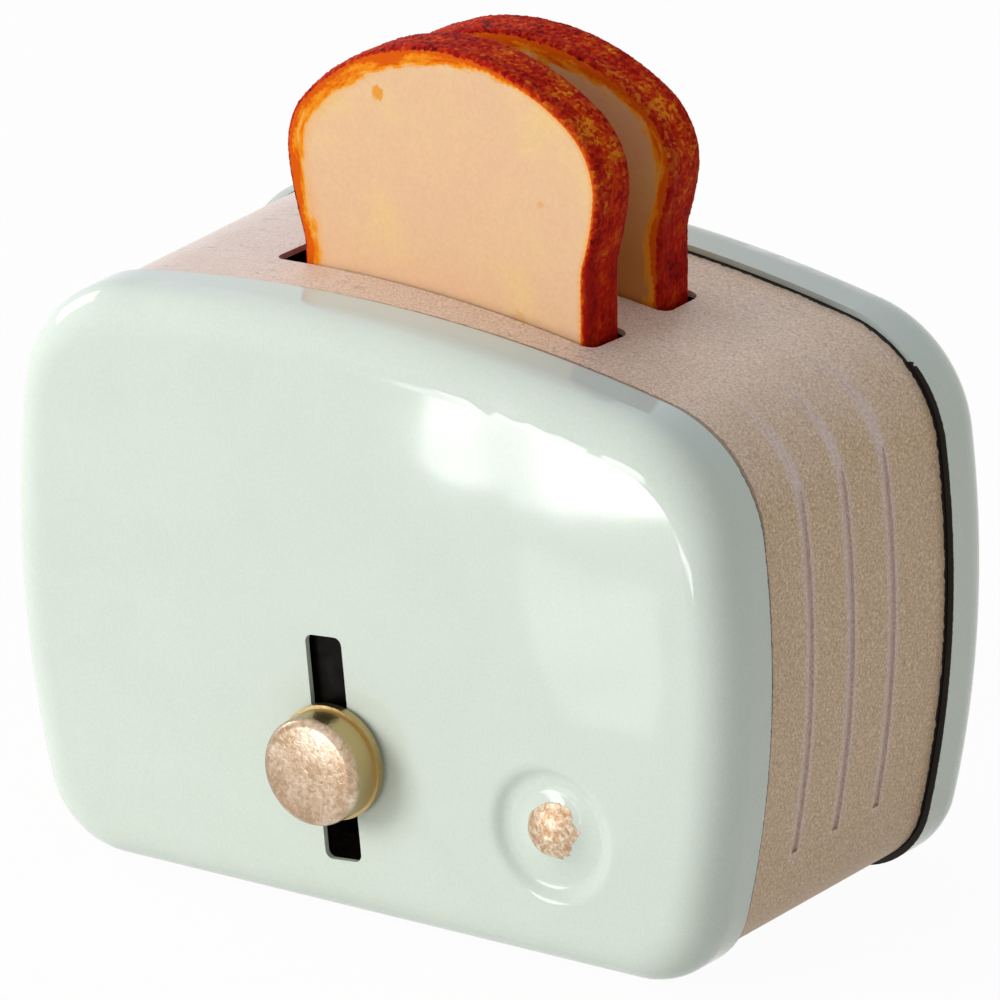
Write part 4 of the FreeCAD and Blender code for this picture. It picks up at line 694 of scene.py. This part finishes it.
# a plum shade where the crust starts, patchy
rosy = add(tree, "ShaderNodeMapRange", {"Value": past, "From Min": 2.0, "From Max": 0.5, "To Max": 0.5})
veiled = add(tree, "ShaderNodeMath", {0: rosy.outputs["Result"], 1: patch}, operation="MULTIPLY")
crust = add(tree, "ShaderNodeMix",
            {FAC: veiled.outputs[0], LEFT: crust.outputs["Color"], RIGHT: paint("6e0e20")},
            data_type="RGBA").outputs[MIXED]
fray = add(tree, "ShaderNodeMath", {0: speck, 1: 0.5, 2: past}, operation="MULTIPLY_ADD")
start = add(tree, "ShaderNodeMapRange",
            {"Value": fray.outputs[0], "From Min": 0.3, "From Max": 0.42}).outputs["Result"]
colour = add(tree, "ShaderNodeMix", {FAC: start, LEFT: colour, RIGHT: crust},
             data_type="RGBA").outputs[MIXED]

pores = add(tree, "ShaderNodeBump", {"Height": speck, "Strength": 1.0, "Distance": 0.025 * MM})
rough = add(tree, "ShaderNodeMapRange", {"Value": start, "To Min": 0.8, "To Max": 0.6})
joined(tree, skin, Base_Color=colour, Normal=pores.outputs["Normal"], Roughness=rough.outputs["Result"])
skin.inputs["Specular IOR Level"].default_value = 0.06
print("bread finish ready")

# %% [markdown]
# ## Baked relief of the crust
# The crust is rough with granules a third of a millimetre wide that sit on broader lumps.  The relief
# follows the surface, so a Geometry Nodes tree moves the points of the crust along their normals.
# Real points give a rough outline against the background, which a bump in the finish can't.

# %% Inputs of the relief
RELIEF_INPUTS = (
    ("Slice", "NodeSocketGeometry", None),
    ("Granule size", "NodeSocketFloat", GRANULE * MM),
    ("Granule height", "NodeSocketFloat", 0.09 * MM),
    ("Lump size", "NodeSocketFloat", 1.7 * MM),
    ("Lump height", "NodeSocketFloat", 0.2 * MM),
    ("Crust start", "NodeSocketFloat", 0.15),
    ("Seed", "NodeSocketFloat", 7.0),
    ("Finish", "NodeSocketMaterial", None),
)
baked_crust = bpy.data.node_groups.new("baked_crust", "GeometryNodeTree")
for name, kind, default in RELIEF_INPUTS:
    socket = baked_crust.interface.new_socket(name, in_out="INPUT", socket_type=kind)
    if default is not None:
        socket.default_value = default
baked_crust.interface.new_socket("Slice", in_out="OUTPUT", socket_type="NodeSocketGeometry")
print("inputs of the relief", [name for name, kind, default in RELIEF_INPUTS])

# %% Geometry Nodes tree for the relief
# granules and lumps rise where "past_edge" is over the crust's start; lengths are in metres
tree = baked_crust
given = add(tree, "NodeGroupInput").outputs
past = add(tree, "GeometryNodeInputNamedAttribute", {"Name": "past_edge"},
           data_type="FLOAT").outputs["Attribute"]
full = add(tree, "ShaderNodeMath", {0: given["Crust start"], 1: 0.6}, operation="ADD")
crusty = add(tree, "ShaderNodeMapRange",
             {"Value": past, "From Min": given["Crust start"], "From Max": full.outputs[0]})
place = add(tree, "GeometryNodeInputPosition").outputs[0]
fine = add(tree, "ShaderNodeMath", {0: 1.0, 1: given["Granule size"]}, operation="DIVIDE")
grains = add(tree, "ShaderNodeTexVoronoi", {"Vector": place, "Scale": fine.outputs[0]})
dome = add(tree, "ShaderNodeMapRange", {"Value": grains.outputs["Distance"], "From Min": 0.65,
           "From Max": 0.0, "To Min": -0.5, "To Max": 0.5}, interpolation_type="SMOOTHSTEP")
broad = add(tree, "ShaderNodeMath", {0: 1.0, 1: given["Lump size"]}, operation="DIVIDE")
lumps = add(tree, "ShaderNodeTexNoise",
            {"Vector": place, "W": given["Seed"], "Scale": broad.outputs[0], "Detail": 2.0},
            noise_dimensions="4D")
swell = add(tree, "ShaderNodeMath", {0: lumps.outputs[0], 1: -0.65}, operation="ADD")
high = add(tree, "ShaderNodeMath", {0: dome.outputs["Result"], 1: given["Granule height"]},
           operation="MULTIPLY")
both = add(tree, "ShaderNodeMath", {0: swell.outputs[0], 1: given["Lump height"], 2: high.outputs[0]},
           operation="MULTIPLY_ADD")
masked = add(tree, "ShaderNodeMath", {0: both.outputs[0], 1: crusty.outputs["Result"]},
             operation="MULTIPLY")
normal = add(tree, "GeometryNodeInputNormal").outputs[0]
move = add(tree, "ShaderNodeVectorMath", {0: normal, "Scale": masked.outputs[0]}, operation="SCALE")
raised = add(tree, "GeometryNodeSetPosition", {"Geometry": given["Slice"], "Offset": move.outputs[0]})
real = add(tree, "GeometryNodeRealizeInstances", {"Geometry": raised.outputs["Geometry"]})
dressed = add(tree, "GeometryNodeSetMaterial",
              {"Geometry": real.outputs["Geometry"], "Material": given["Finish"]})
add(tree, "NodeGroupOutput", {"Slice": dressed.outputs["Geometry"]})
print("relief tree", len(tree.nodes), "nodes")


# %% Run a tree on a piece
def grow(piece, tree, values):
    """Run a tree on a piece with inputs given by name, and keep the result as its plain mesh."""
    layer = piece.modifiers.new(tree.name, "NODES")
    layer.node_group = tree
    for item in tree.interface.items_tree:
        if item.in_out == "INPUT" and item.name in values:
            layer[item.identifier] = values[item.name]
    graph = bpy.context.evaluated_depsgraph_get()
    mesh = bpy.data.meshes.new_from_object(piece.evaluated_get(graph), preserve_all_data_layers=True,
                                           depsgraph=graph)
    piece.modifiers.clear()
    piece.data = mesh
    mesh.shade_smooth()
    print(piece.name, sum(len(face.vertices) - 2 for face in mesh.polygons), "triangles")


# %% [markdown]
# Both slices stand on the shelf inside, the front one a little turned in its slot.  Each takes the place of
# the construction's plain slice and moves with the same body.

# %% Both slices
# name, height, place along the depth, turn in degrees, seed of the lumps
SLICES = (("front", 34.0, -3.0, -4.4, 3.0), ("rear", 33.0, 4.9, 0.0, 11.0))
MIDDLE = -0.1            # place of both slices, across
for word, height, depth, turn, seed in SLICES:
    node = "bread_slice_" + word
    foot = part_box(node)[0][2] / MM
    slab = slice_mesh("bread_" + word, (MIDDLE, depth, foot), math.radians(turn), height)
    grow(slab, baked_crust, {"Seed": seed, "Finish": toasted_bread})
    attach(slab, "slice_" + word)
    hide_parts(node)


# %% [markdown]
# ## Studio
# A wide pale floor, a pale sky that is a little brighter at the front left, and three soft lamps.
# The floor and the sky look white to the camera and in reflections, and the floor keeps the
# toaster's shadow: a small share of it is a plain matt surface, which the lamps light.

# %% Floor
FLOOR_HALF = 4           # half of the floor's width, in metres
WHITE_SHARE = 0.96       # share of the floor's look that is plain white; the rest takes the shadow


def stage_plate(name, corners, material):
    """Flat plate through its corners, in metres."""
    mesh = bpy.data.meshes.new(name)
    mesh.from_pydata(corners, [], [tuple(range(len(corners)))])
    mesh.materials.append(material)
    plate = bpy.data.objects.new(name, mesh)
    bpy.context.scene.collection.objects.link(plate)
    return plate


# matt floor: plain white to the eye, with a soft grey shadow under the toaster
floor_finish, tree, skin, _ = finish_of("pale_floor")
skin.inputs["Base Color"].default_value = paint("ebebe9")
skin.inputs["Roughness"].default_value = 0.9
path = add(tree, "ShaderNodeLightPath").outputs
white = add(tree, "ShaderNodeEmission", {"Color": paint("ffffff"), "Strength": 1.0})
seen = add(tree, "ShaderNodeMath", {0: path["Is Camera Ray"], 1: path["Is Glossy Ray"]}, operation="MAXIMUM")
most = add(tree, "ShaderNodeMath", {0: seen.outputs[0], 1: WHITE_SHARE}, operation="MULTIPLY")
mixed = add(tree, "ShaderNodeMixShader", {0: most.outputs[0], 1: skin.outputs[0], 2: white.outputs[0]})
tree.links.new(mixed.outputs[0], tree.nodes["Material Output"].inputs["Surface"])
stage_plate("floor", [(x * FLOOR_HALF, y * FLOOR_HALF, 0) for x, y in ((-1, -1), (1, -1), (1, 1), (-1, 1))],
            floor_finish)
print("floor ready")


# %% [markdown]
# Gloss needs something to mirror.  Four white cards lie just over the floor and two stand upright
# in front of the toaster, and only reflections see them.  Their outlines give the bright patches on
# the front pan and on its rounded edge their shapes.  An image of a room could be mirrored instead,
# but a card is easier to move and to cut to shape.

# %% Cards that the gloss mirrors
# corners across and along the depth, in millimetres
BRIGHT_CARD = ((-48.1, -108.2), (14, -108.2), (14, -100), (-22, -98), (-24.2, -96), (-25.6, -92.4),
               (-28.5, -89.2), (-30.6, -88.7), (-33.1, -88.6), (-36.3, -88.8), (-38.5, -88.6),
               (-40.9, -92.4), (-43.3, -96.6), (-44.9, -99.9), (-46.7, -103.4))
SIDE_CARD = ((-56.8, -104.6), (-55.5, -106.7), (-52.7, -105.9), (-48.9, -102), (-45.7, -96.4),
             (-40.8, -88.9), (-43.3, -89.1), (-46, -89.9), (-49.2, -92.9), (-53.3, -98.4))
HAZE_CARD = ((-52.7, -105.9), (-48.1, -106.5), (-36.4, -90.2), (-40.8, -88.9))
LOW_CARD = ((-32.6, -81.5), (-30.8, -82.1), (-26.2, -80.6), (-22.9, -79), (-19.6, -80.7), (-17.7, -78.7),
            (-8.1, -64.4), (-1.7, -54.3), (-9.7, -53.9), (-20.6, -66))
LYING_CARDS = (("bright_card", BRIGHT_CARD, 1.0, 10.0, 14), ("side_card", SIDE_CARD, 1.1, 9.0, 7),
               ("haze_card", HAZE_CARD, 1.2, 6.0, 7), ("low_card", LOW_CARD, 1.0, 2.7, 20))
# corners across and up, in millimetres, for the upright cards that the pan's rounded edge mirrors
UPPER_CARD = ((-53, 0.5), (-37, 0.5), (-18, 22), (-12, 34), (-50, 34), (-50, 20))
CORNER_CARD = ((-60.5, 0.5), (-53, 0.5), (-50, 20), (-50.5, 26), (-56, 24))
UPRIGHT_CARDS = (("upper_card", UPPER_CARD, 8.0), ("corner_card", CORNER_CARD, 5.0))
UPRIGHT_DEPTH, UPRIGHT_GRAIN = -108.0, 14


def glow_card(name, corners, strength, grain):
    """Card that only reflections see, cloudy at a scale given in millimetres."""
    # lit paper: gives the gloss a bright patch with soft clouds in it
    made, tree, _, place = finish_of(name + "_paper")
    cloud = add(tree, "ShaderNodeTexNoise", {"Vector": place, "Scale": 1 / grain, "Detail": 2.0})
    glow = add(tree, "ShaderNodeMapRange", {"Value": cloud.outputs["Fac"], "From Min": 0.38,
               "From Max": 0.56, "To Min": strength * 0.8, "To Max": strength})
    light = add(tree, "ShaderNodeEmission", {"Color": paint("ffffff"), "Strength": glow.outputs["Result"]})
    tree.links.new(light.outputs[0], tree.nodes["Material Output"].inputs["Surface"])
    card = stage_plate(name, [(x * MM, y * MM, z * MM) for x, y, z in corners], made)
    card.visible_camera = card.visible_diffuse = card.visible_transmission = card.visible_shadow = False


for name, corners, height, strength, grain in LYING_CARDS:
    glow_card(name, [(x, y, height) for x, y in corners], strength, grain)
for name, corners, strength in UPRIGHT_CARDS:
    glow_card(name, [(x, UPRIGHT_DEPTH, z) for x, z in corners], strength, UPRIGHT_GRAIN)
print("cards ready", len(LYING_CARDS) + len(UPRIGHT_CARDS))

# %% [markdown]
# The sky lights the toaster from all sides, a little more from the front left.  The key lamp at the
# front left throws the shadow, and the lamps on the left and above lift the band and the crown.  The
# key and the upper lamp stay out of the reflections, where the cards already are.

# %% Sky
world = bpy.data.worlds.new("pale_sky")
bpy.context.scene.world = world
world.use_nodes = True
tree = world.node_tree
sky = tree.nodes["Background"]
path = add(tree, "ShaderNodeLightPath").outputs
way = add(tree, "ShaderNodeTexCoord").outputs["Generated"]
lean = add(tree, "ShaderNodeVectorMath", {0: way, 1: (-0.6, -0.5, -0.25)}, operation="DOT_PRODUCT")
soft = add(tree, "ShaderNodeMapRange", {"Value": lean.outputs["Value"], "From Min": -0.7, "From Max": 0.7,
           "To Min": 0.27, "To Max": 0.59})
bright = add(tree, "ShaderNodeMath", {0: path["Is Camera Ray"], 1: path["Is Glossy Ray"]},
             operation="MAXIMUM")
level = add(tree, "ShaderNodeMath", {0: bright.outputs[0], 1: soft.outputs["Result"]}, operation="MAXIMUM")
tree.links.new(level.outputs[0], sky.inputs["Strength"])
sky.inputs["Color"].default_value = paint("fefefe")
print("sky ready")

# %% Lamps
AIM = (0, 0, 0.03)       # point that the lamps face, in metres


def softbox(name, place, size, watts, glossy=True):
    """Square soft lamp that faces the toaster; sizes and places in metres."""
    lamp = bpy.data.lights.new(name, "AREA")
    lamp.size, lamp.energy = size, watts
    box = bpy.data.objects.new(name, lamp)
    box.location = place
    box.rotation_mode = "QUATERNION"
    box.rotation_quaternion = (Vector(AIM) - Vector(place)).to_track_quat("-Z", "Y")
    bpy.context.scene.collection.objects.link(box)
    box.visible_camera, box.visible_glossy = False, glossy


softbox("key", (-0.57, -0.82, 0.3), 0.5, 6.0, glossy=False)
softbox("left_side", (-0.9, 0.1, 0.35), 0.4, 1.9)
softbox("above", (-0.1, 0.1, 0.9), 0.5, 1.1, glossy=False)
print("lamps ready")

# %% [markdown]
# ## Camera
# A long lens from the front right, a little above the toaster, keeps its edges almost parallel.

# %% Camera
AZIMUTH, ELEVATION, ROLL = math.radians(34.931), math.radians(20.654), math.radians(-0.872)
eye = bpy.data.cameras.new("eye")
eye.lens, eye.sensor_width = 720, 36
eye.clip_start, eye.clip_end = 0.01, 100
camera = bpy.data.objects.new("camera", eye)
camera.location = (0.75768, -1.08328, 0.52543)
back = Vector((math.sin(AZIMUTH) * math.cos(ELEVATION), -math.cos(AZIMUTH) * math.cos(ELEVATION),
               math.sin(ELEVATION)))
camera.rotation_mode = "QUATERNION"
camera.rotation_quaternion = (-back).to_track_quat("-Z", "Y") @ Quaternion((0, 0, 1), ROLL)
bpy.context.scene.collection.objects.link(camera)
bpy.context.scene.camera = camera
bpy.context.scene.view_settings.view_transform = "Standard"
print("camera at", [round(c, 3) for c in camera.location], "m, lens", eye.lens, "mm")
